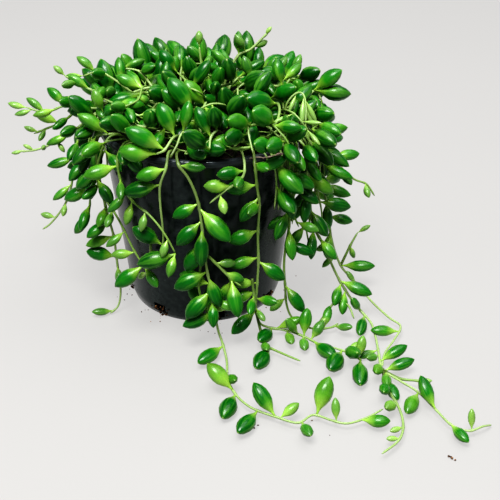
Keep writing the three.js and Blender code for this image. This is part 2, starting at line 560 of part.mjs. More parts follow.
function plant() {
  const named = STRANDS.map(({ name, stems }) => ({
    name,
    stems: stems.map(({ angle, route, leaves }) => {
      const rim = angle === undefined ? [] : overRim(angle);
      const points = [...rim, ...route.map(routePoint)];
      return { ...stemRecord(name, points, 0), leaves, offset: rim.length };
    }),
  }));
  const hanging = HANGING.map(([angle, tip], i) => {
    const name = `strand_rim_${String(i + 1).padStart(2, '0')}`;
    return stemRecord(name, hangingRoute(angle, tip), RIM_CROSSING.length);
  });
  const crown = [];
  for (let i = 0; i < CROWN_STEMS; i += 1) crown.push(stemRecord('crown', crownRoute(i), 0.8));
  const sprigs = SPRIGS.map(({ route, leaves }) => ({
    ...stemRecord('crown', route.map(routePoint), 0), leaves, offset: 0,
  }));

  const pieces = new Map();
  const grow = (stem, leaves) => {
    const piece = pieces.get(stem.owner) || [];
    piece.push(stemSolid(stem.curve), ...leaves.filter(Boolean).map(leafSolid));
    pieces.set(stem.owner, piece);
  };
  const namedLeaves = (stem) => stem.leaves.map((entry) => namedLeaf(stem, entry, stem.offset));
  for (const { stems } of named) for (const stem of stems) grow(stem, namedLeaves(stem));
  for (const stem of hanging) {
    const outward = (root) => new THREE.Vector3(root.x, root.y, 0).normalize();
    grow(stem, ruledLeaves(stem, HANG_LEAF_STEP, HANG_LEAF_LENGTH, 0.55, outward));
  }
  for (const stem of sprigs) grow(stem, namedLeaves(stem));
  for (const stem of crown) {
    const outward = (root) => {
      const share = Math.hypot(root.x, root.y) / CROWN_REACH;
      return new THREE.Vector3(root.x, root.y, 0).multiplyScalar(1 / CROWN_REACH).setZ(0.6 - 0.6 * share).normalize();
    };
    grow(stem, ruledLeaves(stem, CROWN_LEAF_STEP, CROWN_LEAF_LENGTH, 0.2, outward));
  }
  pieces.get('crown').unshift(heartSolid(), ...heartLeaves().map(leafSolid));
  return pieces;
}

// The low heart that the crown's stems rise from, with a peg in the soil.
function heartSolid() {
  const foot = SOIL_TOP + GAP;
  const outline = [
    [0, foot - HOLE_DEPTH], [HEART_PEG_RADIUS, foot - HOLE_DEPTH], [HEART_PEG_RADIUS, foot],
    [HEART_RADIUS - 1.5, foot], [HEART_RADIUS - 1, foot + 2],
    [HEART_RADIUS * 0.86, foot + HEART_HEIGHT * 0.5], [HEART_RADIUS * 0.5, foot + HEART_HEIGHT * 0.87],
    [0, foot + HEART_HEIGHT],
  ];
  return solidOf(turned(outline, HEART_SEGMENTS)).translate(CROWN_CENTRE[0], CROWN_CENTRE[1], 0);
}

function fused(solids) {
  return wholeBody(solids.reduce((sum, solid) => sum.add(solid)));
}

const group = new THREE.Group();
group.add(meshOf('pot', potSolid(), COLOURS.pot));

const named = STRANDS.flatMap(({ stems }) => stems.map(({ angle }) => angle));
const rootAngles = [...named, ...HANGING.map(([angle]) => angle)];
const holes = rootAngles.filter((angle) => angle !== undefined).map((angle) => {
  const root = polar(RIM_CROSSING[0][0], angle, 0);
  return [root.x, root.y, HOLE_RADIUS, HOLE_SIDES];
});
holes.push([...CROWN_CENTRE, HEART_PEG_RADIUS + 0.5, HEART_SEGMENTS]);
group.add(meshOf('soil', soilSolid(holes), COLOURS.soil));

for (const [name, solids] of plant()) {
  group.add(meshOf(name, fused(solids), COLOURS.plant));
}

export default group;
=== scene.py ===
"""A potted trailing succulent with tear-shaped leaves, in a glossy black nursery pot.

The stems and leaves follow one rule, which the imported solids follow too, so every leaf of a solid has
its finer leaf here in the same place. More leaves then fill the crown.
"""
import math

import bpy
import numpy as np
from mathutils import Matrix, Vector


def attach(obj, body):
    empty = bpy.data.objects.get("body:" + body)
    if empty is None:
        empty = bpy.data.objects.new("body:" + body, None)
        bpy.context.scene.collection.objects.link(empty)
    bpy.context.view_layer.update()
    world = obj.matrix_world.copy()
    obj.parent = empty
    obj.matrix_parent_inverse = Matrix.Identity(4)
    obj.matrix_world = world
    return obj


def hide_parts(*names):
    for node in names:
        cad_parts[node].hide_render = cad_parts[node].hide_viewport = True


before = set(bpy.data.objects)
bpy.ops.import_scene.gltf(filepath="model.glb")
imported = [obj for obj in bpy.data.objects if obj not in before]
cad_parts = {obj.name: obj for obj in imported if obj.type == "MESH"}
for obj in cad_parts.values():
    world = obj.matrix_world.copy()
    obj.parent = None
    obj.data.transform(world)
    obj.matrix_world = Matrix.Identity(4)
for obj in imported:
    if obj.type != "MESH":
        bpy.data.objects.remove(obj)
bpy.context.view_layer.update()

MM = 0.001

# ---- sizes, in millimetres

GAP = 0.3

# pot
RIM_RADIUS = 52.5
WALL_TOP_RADIUS = 51.3
WALL_FOOT_RADIUS = 41.5
BASE_RADIUS = 40.0
POT_HEIGHT = 98.0
BAND_HEIGHT = 3.6
CHAMFER_HEIGHT = 5.0
WALL = 1.5
FLOOR = 2.0
DRAIN_COUNT = 8
DRAIN_WIDTH = 7.0
DRAIN_FIRST_ANGLE = -123.0

# soil
SOIL_TOP = 91.0

# stems and leaves
STEM_RADIUS = 0.85
LEAF_WIDTH = 0.48
LEAF_THICKNESS = 0.86
LEAF_WIDEST = 0.46
LEAF_BALLS = [(0.14, 0.3), (0.3, 0.8), (0.46, 1), (0.62, 0.95), (0.78, 0.65), (0.92, 0.28)]
SPREAD = 58.0
GOLDEN_ANGLE = 137.5
LYING_HEIGHT = 4.0
# below this height a listed leaf faces up by the first amount, above it by the second
LOW_LEAF = 12.0
FACES_UP = (2, 0.4)
# a leaf by rule: how much its length and its spacing vary, and its length at the tip of a stem
LENGTH_VARIES = 0.16
SPACING_VARIES = 0.2
TIP_FROM = 0.9
TIP_LENGTH = 0.75
RIM_CROSSING = [(42.3, 87.4), (42.5, 92.5), (46.2, 99.6), (52.5, 101.6)]

# Stems that show one by one: (angle at the rim, points past the rim, leaves). A leaf is (place on the
# route, heading, rise, length). A point without a height lies on the surface, propped at LYING_HEIGHT.
STRANDS = {
    "strand_front_left": [
        (-104.5, [(-14, -56.5, 96.5), (-17, -56, 88), (-17.5, -55, 78), (-17, -54.5, 67), (-17, -53.5, 57),
                  (-19, -52.5, 48)],
         [(0, 190, -15, 14), (1, 180, -12, 17), (4.3, 180, 35, 17), (5, 205, -25, 10)]),
    ],
    "strand_front_long": [
        (-100.2, [(-8, -57.5, 98.8), (-4.2, -59, 94), (-1.4, -59.5, 88), (0.6, -59.5, 81),
                  (1.6, -59.5, 73.5), (3, -60, 59), (4, -60.5, 46), (5.5, -61, 37), (6.5, -61, 28),
                  (8, -61, 17), (9.5, -61.5, 9), (11.5, -66, 5.6), (14, -78), (15, -93), (19, -104),
                  (24, -111), (29, -115), (37, -119), (47, -123), (54, -117.5), (62, -121), (69, -123),
                  (78, -119), (86, -113)],
         [(0.05, -5, -2, 12), (3.1, 185, -30, 14), (3.5, -25, -42, 20), (4.2, 200, -40, 15),
          (4.45, -100, -72, 17), (4.95, 205, -58, 17), (6.2, 187, -28, 18), (6.5, -25, -70, 15),
          (7, 190, -8, 18), (7.4, 205, -45, 17), (8, -80, -50, 13), (8.05, -15, -15, 11),
          (8.7, 195, -20, 17), (11.2, -132, -3, 18), (12.8, -70, 25, 13), (13.7, 150, 40, 17),
          (13.95, -108, 2, 17), (16, -118, 1, 18), (17, 135, 38, 17), (17.2, 30, 25, 11),
          (18.2, -75, 12, 12), (19.2, 62, 52, 18), (20.3, 95, 60, 10), (21.7, -12, 4, 13)]),
        (None, [(3.6, -60.3, 54), (9, -62, 49), (16, -61, 40), (21, -60.5, 35.5)],
         [(0.9, 15, -10, 10), (2, -95, -72, 17), (1.5, -10, -45, 12)]),
    ],
    "strand_front_right": [
        (-61, [(26.8, -53.8, 96.5), (27.8, -53, 86), (29, -52.5, 76), (28.5, -52.5, 61), (29, -52, 44),
               (28.5, -52, 31), (28, -52, 18), (30, -52, 8.5), (35, -51.5, 5), (45, -53), (53, -58),
               (60, -64), (67, -67), (74, -71), (80, -77)],
         [(-0.2, -60, 10, 13), (0.2, -100, 15, 14), (0.9, 185, -8, 14), (1.6, 200, -50, 14),
          (1.95, -110, 10, 13), (2.9, 190, -22, 15), (3.8, 195, -12, 14), (3.95, -10, -32, 16),
          (4.9, 195, 8, 12), (5.3, 188, -15, 13), (5.6, -40, 15, 13), (6.2, -140, -25, 17),
          (8.2, -112, 10, 16), (8.35, 2, 24, 14), (8.9, -80, 4, 12), (9.6, 92, 60, 12), (9.95, 80, 62, 14),
          (9.9, -89, 0, 11), (10.4, 40, 40, 11), (10.6, -58, 5, 17), (12.57, -112, 2, 19),
          (12.95, -92, 0, 16), (12.91, 35, 13, 9), (13.76, -148, 2, 11), (13.9, -97, 3, 19)]),
        (None, [(28, -52, 16), (31, -59, 6.5), (33.5, -66), (37, -69), (44, -74), (50, -78)],
         [(1.6, -85, 15, 12), (2.6, -114, 2, 17)]),
    ],
    "strand_right_corner": [
        (-44, [(41.5, -40.5, 96.5), (43, -41, 80), (44, -41.5, 61), (42.5, -42.5, 48), (42, -43, 37),
               (43, -42.5, 24), (44, -42, 13), (47, -43, 5.5), (53, -48), (59, -51), (67, -49.5),
               (71, -46)],
         [(0.5, -20, -30, 14), (1, -75, -50, 15), (1.6, -130, -50, 15), (2.2, -80, -55, 15),
          (2.8, -10, -22, 14), (4.9, -25, -50, 16), (5.6, 215, -20, 10), (7.93, 23, 69, 9),
          (9.15, 28, 52, 7), (9.5, 70, 40, 12), (10.3, -35, 20, 11)]),
    ],
    "strand_right_long": [
        (-30, [(50, -30, 96.5), (53, -31, 80), (56, -31.5, 56), (62, -31.5, 43), (70, -32, 25),
               (77, -33, 13), (83, -36.5, 6.2), (88, -45), (89, -58), (89, -71), (89.5, -84), (97, -93),
               (104, -101), (110, -113), (115, -123), (122, -127), (129, -124), (134, -120, 1.3)],
         [(0.4, -60, -30, 15), (0.9, 0, -40, 15), (1.3, -110, -50, 15), (1.7, -20, -55, 16),
          (2.2, -100, -50, 15), (2.7, -40, -40, 14), (4.25, -19, -14, 18), (4.35, -109, -25, 14),
          (4.7, -101, -30, 13), (6.1, -160, 35, 12), (6.4, -105, -4, 15), (8.8, -162, 10, 11),
          (9.15, -138, 3, 11), (9.5, 25, 22, 15), (9.7, -115, 12, 13), (10.1, 18, 14, 15),
          (10.2, -95, 6, 12), (12, -117, 2, 16), (13, 138, 30, 15), (13.94, -62, 0, 13),
          (15.2, 92, 60, 9)]),
        (-15, [(53.5, -14, 97), (58, -12.5, 80), (65, -9, 54), (69, -6, 31), (75, -4.5, 14),
               (82.5, -7.5, 6), (91, -26), (98, -40), (103, -48), (98, -60), (92, -71), (89.3, -82)],
         [(0.4, -60, -20, 15), (0.8, 20, -30, 16), (1.1, -70, -40, 16), (1.5, 0, -30, 15),
          (1.9, -80, -55, 15), (2.3, 15, -20, 14), (2.7, -100, -50, 14), (3.1, -134, -15, 9),
          (3.5, -153, -41, 10), (4, -7, 4, 17), (5.15, 91, 65, 9), (8.4, -172, 10, 15)]),
        (None, [(89.5, -84), (89.5, -96), (93.5, -113), (93.5, -125), (90, -134), (82, -142)],
         [(0.6, -70, 5, 14), (0.95, -100, 22, 13), (1.7, -125, 4, 11), (3, -150, 6, 7), (3.8, 190, 6, 6)]),
        (None, [(90, -85.5), (97, -91), (104, -93.5, 5), (110, -95, 5)], [(2.2, -5, 8, 6)]),
    ],
    "strand_right_side": [
        (2, [(57, 2, 97.5), (63, 1, 86), (70, 0, 74), (79, 0, 65), (86, 0, 62), (91, 0, 55)],
         [(0.3, -50, -20, 15), (0.8, 40, -20, 15), (1.2, -70, -45, 15), (1.7, 20, 0, 14),
          (2.2, -60, -30, 12), (3.9, -80, -35, 9)]),
    ],
    "strand_left_drooping": [
        (-170, [(-57, -9.5, 98.5), (-61, -10, 94), (-63.5, -10, 86), (-66, -10, 74), (-69.5, -10, 60),
                (-74, -10, 51), (-81, -10, 42), (-86, -10, 38)],
         [(1.6, -100, -20, 14), (2.5, 185, -20, 14), (2.9, -30, -25, 15), (3.6, 200, -40, 12),
          (4.6, -100, -30, 8), (5.6, 170, 10, 8)]),
    ],
    "strand_left_inner": [
        (-161, [(-54.5, -18, 97), (-56, -19, 85), (-56.5, -20, 72), (-57.5, -21, 58), (-60, -22, 47)],
         [(0.5, -100, -30, 16), (1, 180, -35, 15), (1.6, -60, -50, 15), (2.2, 190, -30, 15),
          (2.9, -110, -35, 14), (3.4, 195, -50, 13)]),
    ],
    "strand_left_long": [
        (-152, [(-50.5, -26.8, 95), (-50.5, -27, 80), (-49, -27.5, 67), (-47, -27.5, 54), (-45, -28.5, 44),
                (-44.5, -29, 34), (-44, -29, 23), (-43.5, -29.5, 12), (-45, -31.5, 4), (-49, -35, 1.3)],
         [(1.4, 190, -20, 14), (2.4, -100, -30, 13), (3, 195, -25, 14), (3.9, 188, -18, 15),
          (5.1, 182, 12, 15), (5.6, -80, -40, 10), (8.6, 200, 2, 11)]),
    ],
    "strand_left_front": [
        (-143, [(-46, -34.8, 96.5), (-50, -33, 84), (-49.5, -34, 76), (-45, -39.5, 70), (-40.5, -43.5, 65),
                (-36.5, -46.5, 58), (-32.5, -49.5, 50), (-27, -52.5, 41)],
         [(0.8, -150, -40, 15), (1.5, -90, -45, 14), (3.6, -100, -20, 11), (5, -150, -35, 11),
          (6.2, 185, -10, 11), (6.9, 197, -35, 16), (7, -50, -30, 12)]),
    ],
    "strand_front_corner": [
        (-131, [(-37.5, -45.8, 96.5), (-37, -46, 87), (-34.8, -47.5, 80.5), (-30.5, -50, 75.5),
                (-22.7, -54.5, 71), (-16, -58.5, 64), (-10.6, -59.5, 53)],
         [(0.4, 200, -10, 15), (1.1, -60, -20, 12), (2.2, 200, -45, 12), (2.85, -120, -60, 11),
          (3.7, -110, -60, 9), (5.3, -130, -60, 9), (5.95, -115, -50, 12), (6, 187, -15, 18)]),
    ],
    "strand_front_short": [
        (-67, [(22, -57, 98), (20.5, -59, 93), (13, -61.5, 88), (6, -62.5, 82)],
         [(0.3, 200, 0, 13), (0.9, 180, 18, 12), (1.6, 187, 0, 12), (2.3, -70, -40, 9)]),
    ],
    "sprig_left_upper": [
        (177, [(-58, 2, 102.5), (-65, 1, 105), (-72, 0, 103.5), (-80, 0, 100.5), (-89, 0, 103)],
         [(0.9, -110, 25, 14), (1.6, 150, 35, 13), (2.3, 200, -15, 12), (3, 160, 35, 11),
          (3.7, 185, -20, 9), (4, 178, 10, 9)]),
    ],
    "sprig_left_rear": [
        (167, [(-57, 13, 101), (-66, 12, 97), (-74, 11, 91), (-83, 11, 87), (-90, 11, 84)],
         [(0.8, 170, 20, 13), (1.5, -120, -10, 13), (2.2, 180, 25, 12), (3, -110, -20, 9),
          (3.6, 175, 15, 8)]),
    ],
    "sprig_left_lower": [
        (-178, [(-59, -2.5, 97.5), (-66, -2, 91), (-74, -1, 86), (-83, 0, 81), (-91, 0, 79), (-98, 0, 79)],
         [(0.6, -100, -10, 14), (1.2, 185, -25, 13), (2.2, -90, 20, 7), (2.9, -90, 20, 7),
          (3.6, 175, 25, 6), (4.4, 190, -10, 6)]),
    ],
}

# Sprigs that stand out of the crown: (points, leaves).
SPRIGS = [
    ([(8, 12, 103), (13, 17, 117), (18, 20, 125), (24, 20, 128), (30, 20, 134), (33, 20, 137)],
     [(1.2, 170, 40, 12), (2, 100, 70, 12), (2.6, 150, 60, 10), (3.2, 20, 20, 8), (4.4, 0, 60, 5)]),
    ([(-1, 11, 103), (-1, 15, 118), (-2, 17, 130)], [(1, 60, 20, 12), (2, 95, 80, 8)]),
    ([(27, 1, 98), (48, 2, 103.5), (53, 3.5, 108.5), (56.5, 4, 112.5)],
     [(2.9, -9, 43, 18), (3, -8, -5, 18), (2.2, -70, 0, 14)]),
    ([(-20, 6, 101), (-34, 6, 108), (-43, 6, 115), (-52, 6, 120), (-60, 6, 118)],
     [(1.8, 100, 50, 13), (2.6, -110, 20, 14), (3.2, 165, 40, 11), (4, 190, 0, 9)]),
    ([(-24, -3, 100), (-40, -4, 107), (-50, -2, 111), (-60, 0, 115), (-68, 0, 120)],
     [(1.9, -90, 30, 14), (2.6, 170, 30, 12), (3.3, -120, 10, 10), (4, 170, 40, 7)]),
    ([(-18, 4, 101), (-16, -13, 114), (-28, -9, 115), (-44, -3, 111.5)],
     [(1, -115, 30, 17), (2, -165, -10, 17), (3, -95, 30, 12)]),
    ([(-16, -18, 99), (-24, -40, 109.5), (-36, -33, 110), (-45, -24, 109)],
     [(1, -65, 50, 15), (2, -120, 10, 15), (3, -65, 35, 13)]),
    ([(-5, -24, 99), (-10, -50, 109.5), (-14, -58, 106.5), (-18, -57, 104)],
     [(1, 145, 60, 16), (2, 175, 30, 19), (3, -175, 5, 16)]),
    ([(-10, -4, 102), (-12, -8, 115.5), (-9, -30, 114), (-2, -34, 115.5)],
     [(1, -110, 50, 18), (2, -90, 0, 14), (3, 160, 50, 18)]),
    ([(-6, 4, 102), (-5, -7, 117), (-14, 20, 115.5)], [(1, 25, 50, 15), (2, 165, 50, 14)]),
    ([(4, 2, 102), (7.5, -6, 116), (15, -1, 117.5), (18, 9, 117)],
     [(1, -80, 55, 17), (2, -105, 55, 18), (3, 10, 30, 14)]),
    ([(6, -24, 99), (9, -47, 111.5), (6.5, -51.5, 110), (6, -56, 106)],
     [(1, -100, 60, 15), (2, 145, 60, 15), (3, -135, 40, 18)]),
    ([(20, -6, 101), (21, -22, 116.5), (25, -24, 117), (29, 8, 116)],
     [(1, -80, -15, 16), (2, 30, 55, 15), (3, -60, -10, 15)]),
    ([(24, -10, 99), (37, -22, 115), (36, -39, 112), (25, -43, 112.5), (22.5, -48, 110)],
     [(1, -140, 20, 20), (2, -135, 35, 19), (3, -130, 25, 17), (4, -125, 15, 17)]),
    ([(24, 8, 99), (36, 18, 114.5), (42, 21, 113), (48, 21, 112)],
     [(1, 25, 55, 11), (2, -135, 25, 18), (3, -45, 30, 17)]),
    ([(27, -8, 98), (54, -12, 106), (57, -19, 104), (54, -29, 105)],
     [(1, -45, 15, 15), (2, -55, 0, 16), (3, -65, 0, 19)]),
    ([(20, -20, 99), (40, -43, 105), (40, -47, 106.5), (34.5, -50, 105)],
     [(1, -70, -10, 18), (2, -120, 10, 15), (3, -125, 25, 15)]),
]

# angle at the rim, height of the tip
HANGING = [
    (-52, 62), (-37, 48), (-22, 42), (-8, 50), (11, 44), (21, 58), (32, 40), (43, 55), (55, 36),
    (67, 50), (79, 42), (91, 58), (103, 38), (115, 52), (127, 44), (139, 60), (150, 48), (159, 56),
]
HANG_RADIUS = 57.0
HANG_STEP = 13.0
HANG_SWAY = 2.2
HANG_TURN = 5
HANG_STRAY = 1.2
HANG_FLARE = 0.6
HANG_LEAF_STEP = 11.5
HANG_LEAF_LENGTH = 16.5

# crown
CROWN_CENTRE = (1.5, 0.5)
HEART_RADIUS = 37.0
HEART_HEIGHT = 14.0
HEART_LEAVES = 14
# the leaves' roots, as shares of the heart's radius and height
HEART_INSET = (0.9, 0.85)
HEART_LEAF_STRAY = 10
HEART_LEAF_SWING = 140
HEART_LEAF_RISE = 26
CROWN_STEMS = 12
CROWN_REACH = 55.0
CROWN_SHIFT = 4.5
CROWN_EDGE_HEIGHT = 104.5
CROWN_RISE = 7.5
CROWN_DROOP = 1.0
CROWN_SWING = 28
CROWN_TILT = 0.6
# along a stem: the share of its reach, and its height there or, from the second on, past the dome's
CROWN_STEPS = [(0.3, 98), (0.52, 0), (0.76, 1.5), (1, 0)]
CROWN_FIRST_REACH = 20
CROWN_LEAF_STEP = 14.0
CROWN_LEAF_LENGTH = 18.0

# the test for room
STEM_BALL_STEP = 1.5
NEAR = 30
FLOOR_GAP = 0.15
CLEARANCE = 0.45
OWN_OVERLAP = 0.5
CROWDED_OVERLAP = 2.6
CROWDED = ("crown", "crown_sprays", "low_sprigs")
TURNS = (0, 25, -25, 50, -50, 80, -80, 115, -115)


# ---- the plant's rule

class Draw:
    """A small repeatable random draw from 0 to 1: state = state * 1664525 + 1013904223, modulo 2^32."""

    def __init__(self, state):
        self.state = state

    def next(self):
        self.state = (self.state * 1664525 + 1013904223) % 4294967296
        return self.state / 4294967296

    def jitter(self, size):
        return (2 * self.next() - 1) * size


draw = Draw(20240611)


def polar(radius, angle, height):
    turn = math.radians(angle)
    return np.array([radius * math.cos(turn), radius * math.sin(turn), height])


def direction(heading, rise):
    tilt = math.radians(rise)
    return polar(math.cos(tilt), heading, math.sin(tilt))


def unit(vector):
    return vector / np.linalg.norm(vector)


def turned_about(vector, axis, angle):
    """Rodrigues' formula: v cos a + (k x v) sin a + k (k . v)(1 - cos a)."""
    turn = math.radians(angle)
    cos, sin = math.cos(turn), math.sin(turn)
    return vector * cos + np.cross(axis, vector) * sin + axis * np.dot(axis, vector) * (1 - cos)


CURVE_STEPS = 200


class Curve:
    """A Catmull-Rom curve of tension 0.5 through points, with one straight guess past each end."""

    def __init__(self, points):
        inner = np.array(points, float)
        first = 2 * inner[0] - inner[1]
        last = 2 * inner[-1] - inner[-2]
        self.knots = np.vstack([first, inner, last])
        self.spans = len(inner) - 1
        self.length = self.measured()

    def at(self, shares):
        """Points at shares of the way, 0 to 1: c0 + c1 w + c2 w^2 + c3 w^3 on each span."""
        place = np.clip(np.atleast_1d(shares), 0, 1) * self.spans
        span = np.minimum(place.astype(int), self.spans - 1)
        w = (place - span)[:, None]
        before, start, end, after = (self.knots[span + k] for k in range(4))
        leave, arrive = (end - before) / 2, (after - start) / 2
        square = 3 * (end - start) - 2 * leave - arrive
        cube = 2 * (start - end) + leave + arrive
        return start + leave * w + square * w**2 + cube * w**3

    def point(self, share):
        return self.at(share)[0]

    def tangent(self, share):
        ends = self.at([max(share - 1e-4, 0), min(share + 1e-4, 1)])
        return unit(ends[1] - ends[0])

    def measured(self):
        steps = np.diff(self.at(np.linspace(0, 1, CURVE_STEPS + 1)), axis=0)
        return float(np.linalg.norm(steps, axis=1).sum())


class Room:
    """Every piece as a chain of balls, so that a new leaf can be tested against them."""

    def __init__(self):
        self.centres = np.zeros((0, 3))
        self.radii = np.zeros(0)
        self.owners = np.zeros(0, int)
        self.stems = np.zeros(0, bool)
        self.names = []

    def number(self, owner):
        if owner not in self.names:
            self.names.append(owner)
        return self.names.index(owner)

    def add(self, owner, centres, radii, stem):
        count = len(radii)
        self.centres = np.vstack([self.centres, centres])
        self.radii = np.concatenate([self.radii, radii])
        self.owners = np.concatenate([self.owners, np.full(count, self.number(owner))])
        self.stems = np.concatenate([self.stems, np.full(count, stem)])

    def fits(self, owner, centres, radii, own_overlap, clearance):
        if not all(clear_of_pot(centre, radius) for centre, radius in zip(centres[1:], radii[1:])):
            return False
        middle = centres.mean(axis=0)
        near = np.abs(self.centres - middle).max(axis=1) < NEAR
        apart = np.linalg.norm(centres[:, None] - self.centres[near][None], axis=2)
        space = apart - radii[:, None] - self.radii[near][None]
        own = np.tile(self.owners[near] == self.number(owner), (len(radii), 1))
        by_root = (np.arange(len(radii)) < 3)[:, None]
        free = own & (by_root | self.stems[near][None])
        return bool(np.all(free | (space > np.where(own, -own_overlap, clearance))))


room = Room()


def wall_radius(height):
    """The pot's outer radius: the rim's near the top, else on a straight line from foot to wall top."""
    if height > POT_HEIGHT - BAND_HEIGHT - 1:
        return RIM_RADIUS
    share = (height - CHAMFER_HEIGHT) / (POT_HEIGHT - BAND_HEIGHT - CHAMFER_HEIGHT)
    return WALL_FOOT_RADIUS + max(share, 0) * (WALL_TOP_RADIUS - WALL_FOOT_RADIUS)


def clear_of_pot(centre, radius):
    outward = math.hypot(centre[0], centre[1])
    if centre[2] - radius * LEAF_THICKNESS < FLOOR_GAP:
        return False
    if centre[2] - radius > POT_HEIGHT + GAP:
        return True
    if outward - radius > wall_radius(centre[2] + radius) + GAP:
        return True
    inside = outward + radius < WALL_TOP_RADIUS - WALL - GAP
    return inside and centre[2] - radius > SOIL_TOP + GAP


def leaf_balls(root, along, length):
    """A leaf as a row of balls along its middle, for the test for room."""
    half = length * LEAF_WIDTH / 2
    centres = np.array([root + along * share * length for share, _ in LEAF_BALLS])
    return centres, np.array([wide * half for _, wide in LEAF_BALLS])


def place_leaf(owner, root, tangent, along, face, length, own_overlap=OWN_OVERLAP, clearance=CLEARANCE):
    """Turns a leaf about its stem until it has room; a leaf that never has is left out."""
    for turn in TURNS:
        turned = turned_about(along, tangent, turn)
        centres, radii = leaf_balls(root, turned, length)
        if room.fits(owner, centres, radii, own_overlap, clearance):
            room.add(owner, centres, radii, False)
            return {"root": root, "along": turned, "face": face, "length": length}
    return None


def over_rim(angle):
    return [polar(radius, angle, height) for radius, height in RIM_CROSSING]


def hanging_route(angle, tip, radius=HANG_RADIUS):
    route = over_rim(angle)
    sweep = draw.jitter(HANG_TURN)
    height, i = POT_HEIGHT - 1.5, 0
    while height > tip:
        swing = angle + sweep * min(i / 3, 1) * 0.6 + (draw.jitter(HANG_SWAY) if i else 0)
        reach = radius + (draw.jitter(HANG_STRAY) + HANG_FLARE * i if i else 0)
        route.append(polar(reach, swing, height))
        height -= HANG_STEP
        i += 1
    return route


def crown_height(radius):
    """The dome of the crown: edge height + rise * (1 - (radius / reach)^3)."""
    return CROWN_EDGE_HEIGHT + CROWN_RISE * (1 - (radius / CROWN_REACH) ** 3)


def crown_route(index):
    """A stem by the golden angle, its reach as the square root of its number so that tips spread evenly."""
    angle = index * GOLDEN_ANGLE
    reach = CROWN_REACH * math.sqrt((index + 2) / (CROWN_STEMS + 1.5))
    swing = draw.jitter(CROWN_SWING)
    route = []
    for i, (share, lift) in enumerate(CROWN_STEPS):
        radius = min(share * reach, CROWN_REACH if i else CROWN_FIRST_REACH)
        droop = CROWN_DROOP * (radius / CROWN_REACH) ** 4 if i == len(CROWN_STEPS) - 1 else 0
        height = crown_height(radius) + lift - droop if i else lift
        middle = (CROWN_CENTRE[0] + CROWN_SHIFT * share, CROWN_CENTRE[1], 0)
        route.append(polar(radius, angle + swing * share, height) + middle)
    return route


def stem_record(owner, points, rule_start=0, leaves=(), offset=0):
    curve = Curve(points)
    count = math.ceil(curve.length / STEM_BALL_STEP)
    room.add(owner, curve.at(np.arange(count + 1) / count), np.full(count + 1, STEM_RADIUS), True)
    return {"owner": owner, "curve": curve, "last": len(points) - 1, "rule_start": rule_start,
            "entries": leaves, "offset": offset}


def lifted_rise(root, rise, length):
    """The leaf's rise, or a steeper one where its belly would touch the surface below."""
    belly = length * LEAF_WIDTH * LEAF_THICKNESS / 2 + GAP
    climb = min(max((belly - root[2]) / (LEAF_WIDEST * length), -1), 1)
    return max(rise, math.degrees(math.asin(climb)))


def named_leaves(stem):
    leaves = []
    overlap = CROWDED_OVERLAP if stem["owner"] in CROWDED else OWN_OVERLAP
    for place, heading, rise, length in stem["entries"]:
        share = (place + stem["offset"]) / stem["last"]
        root, tangent = stem["curve"].point(share), stem["curve"].tangent(share)
        face = straight_out(root) + (0, 0, FACES_UP[0] if root[2] < LOW_LEAF else FACES_UP[1])
        along = direction(heading, lifted_rise(root, rise, length) if root[2] < length else rise)
        leaves.append(place_leaf(stem["owner"], root, tangent, along, face, length, overlap))
    return leaves


def ruled_leaves(stem, spacing, length, pull, lean, **limits):
    """Leaves evenly along the stem, each turned on by the golden angle from the last and pulled a
    little towards the side that the piece leans to."""
    leaves = []
    total = stem["curve"].length
    at = stem["rule_start"] / stem["last"] * total
    clock = draw.next() * 360
    while at <= total - 1:
        share = min(at / total, 1)
        root, tangent = stem["curve"].point(share), stem["curve"].tangent(share)
        outward = lean(root)
        clock += GOLDEN_ANGLE
        across = turned_about(unit(np.cross(tangent, outward)), tangent, clock)
        along = tangent * math.cos(math.radians(SPREAD)) + across * math.sin(math.radians(SPREAD))
        along = unit(along + outward * pull)
        size = length * (1 + draw.jitter(LENGTH_VARIES)) * (TIP_LENGTH if share > TIP_FROM else 1)
        leaves.append(place_leaf(stem["owner"], root, tangent, along, outward, size, **limits))
        at += spacing * (1 + draw.jitter(SPACING_VARIES))
    return leaves


def straight_out(root):
    return unit(np.array([root[0], root[1], 0]))


def out_and_up(root):
    share = math.hypot(root[0], root[1]) / CROWN_REACH
    return unit(np.array([root[0] / CROWN_REACH, root[1] / CROWN_REACH, CROWN_TILT - CROWN_TILT * share]))


def heart_leaves():
    """Leaves that stand straight out of the heart, spread over its dome by the golden angle."""
    leaves = []
    for i in range(HEART_LEAVES):
        steep = math.degrees(math.acos(1 - (i + 0.5) / HEART_LEAVES))
        angle = i * GOLDEN_ANGLE + draw.jitter(HEART_LEAF_STRAY)
        root = polar(HEART_RADIUS * HEART_INSET[0] * math.sin(math.radians(steep)), angle, SOIL_TOP + 2)
        root = root + (*CROWN_CENTRE, HEART_HEIGHT * HEART_INSET[1] * math.cos(math.radians(steep)))
        outward = direction(angle, 90 - steep * 0.8)
        heading = angle + draw.jitter(HEART_LEAF_SWING)
        along = direction(heading, HEART_LEAF_RISE - steep * 0.2 + draw.jitter(HEART_LEAF_RISE))
        tangent = unit(np.cross(outward, along))
        length = CROWN_LEAF_LENGTH * (1 + draw.jitter(0.15))
        leaves.append(place_leaf("crown", root, tangent, along, outward, length))
    return leaves


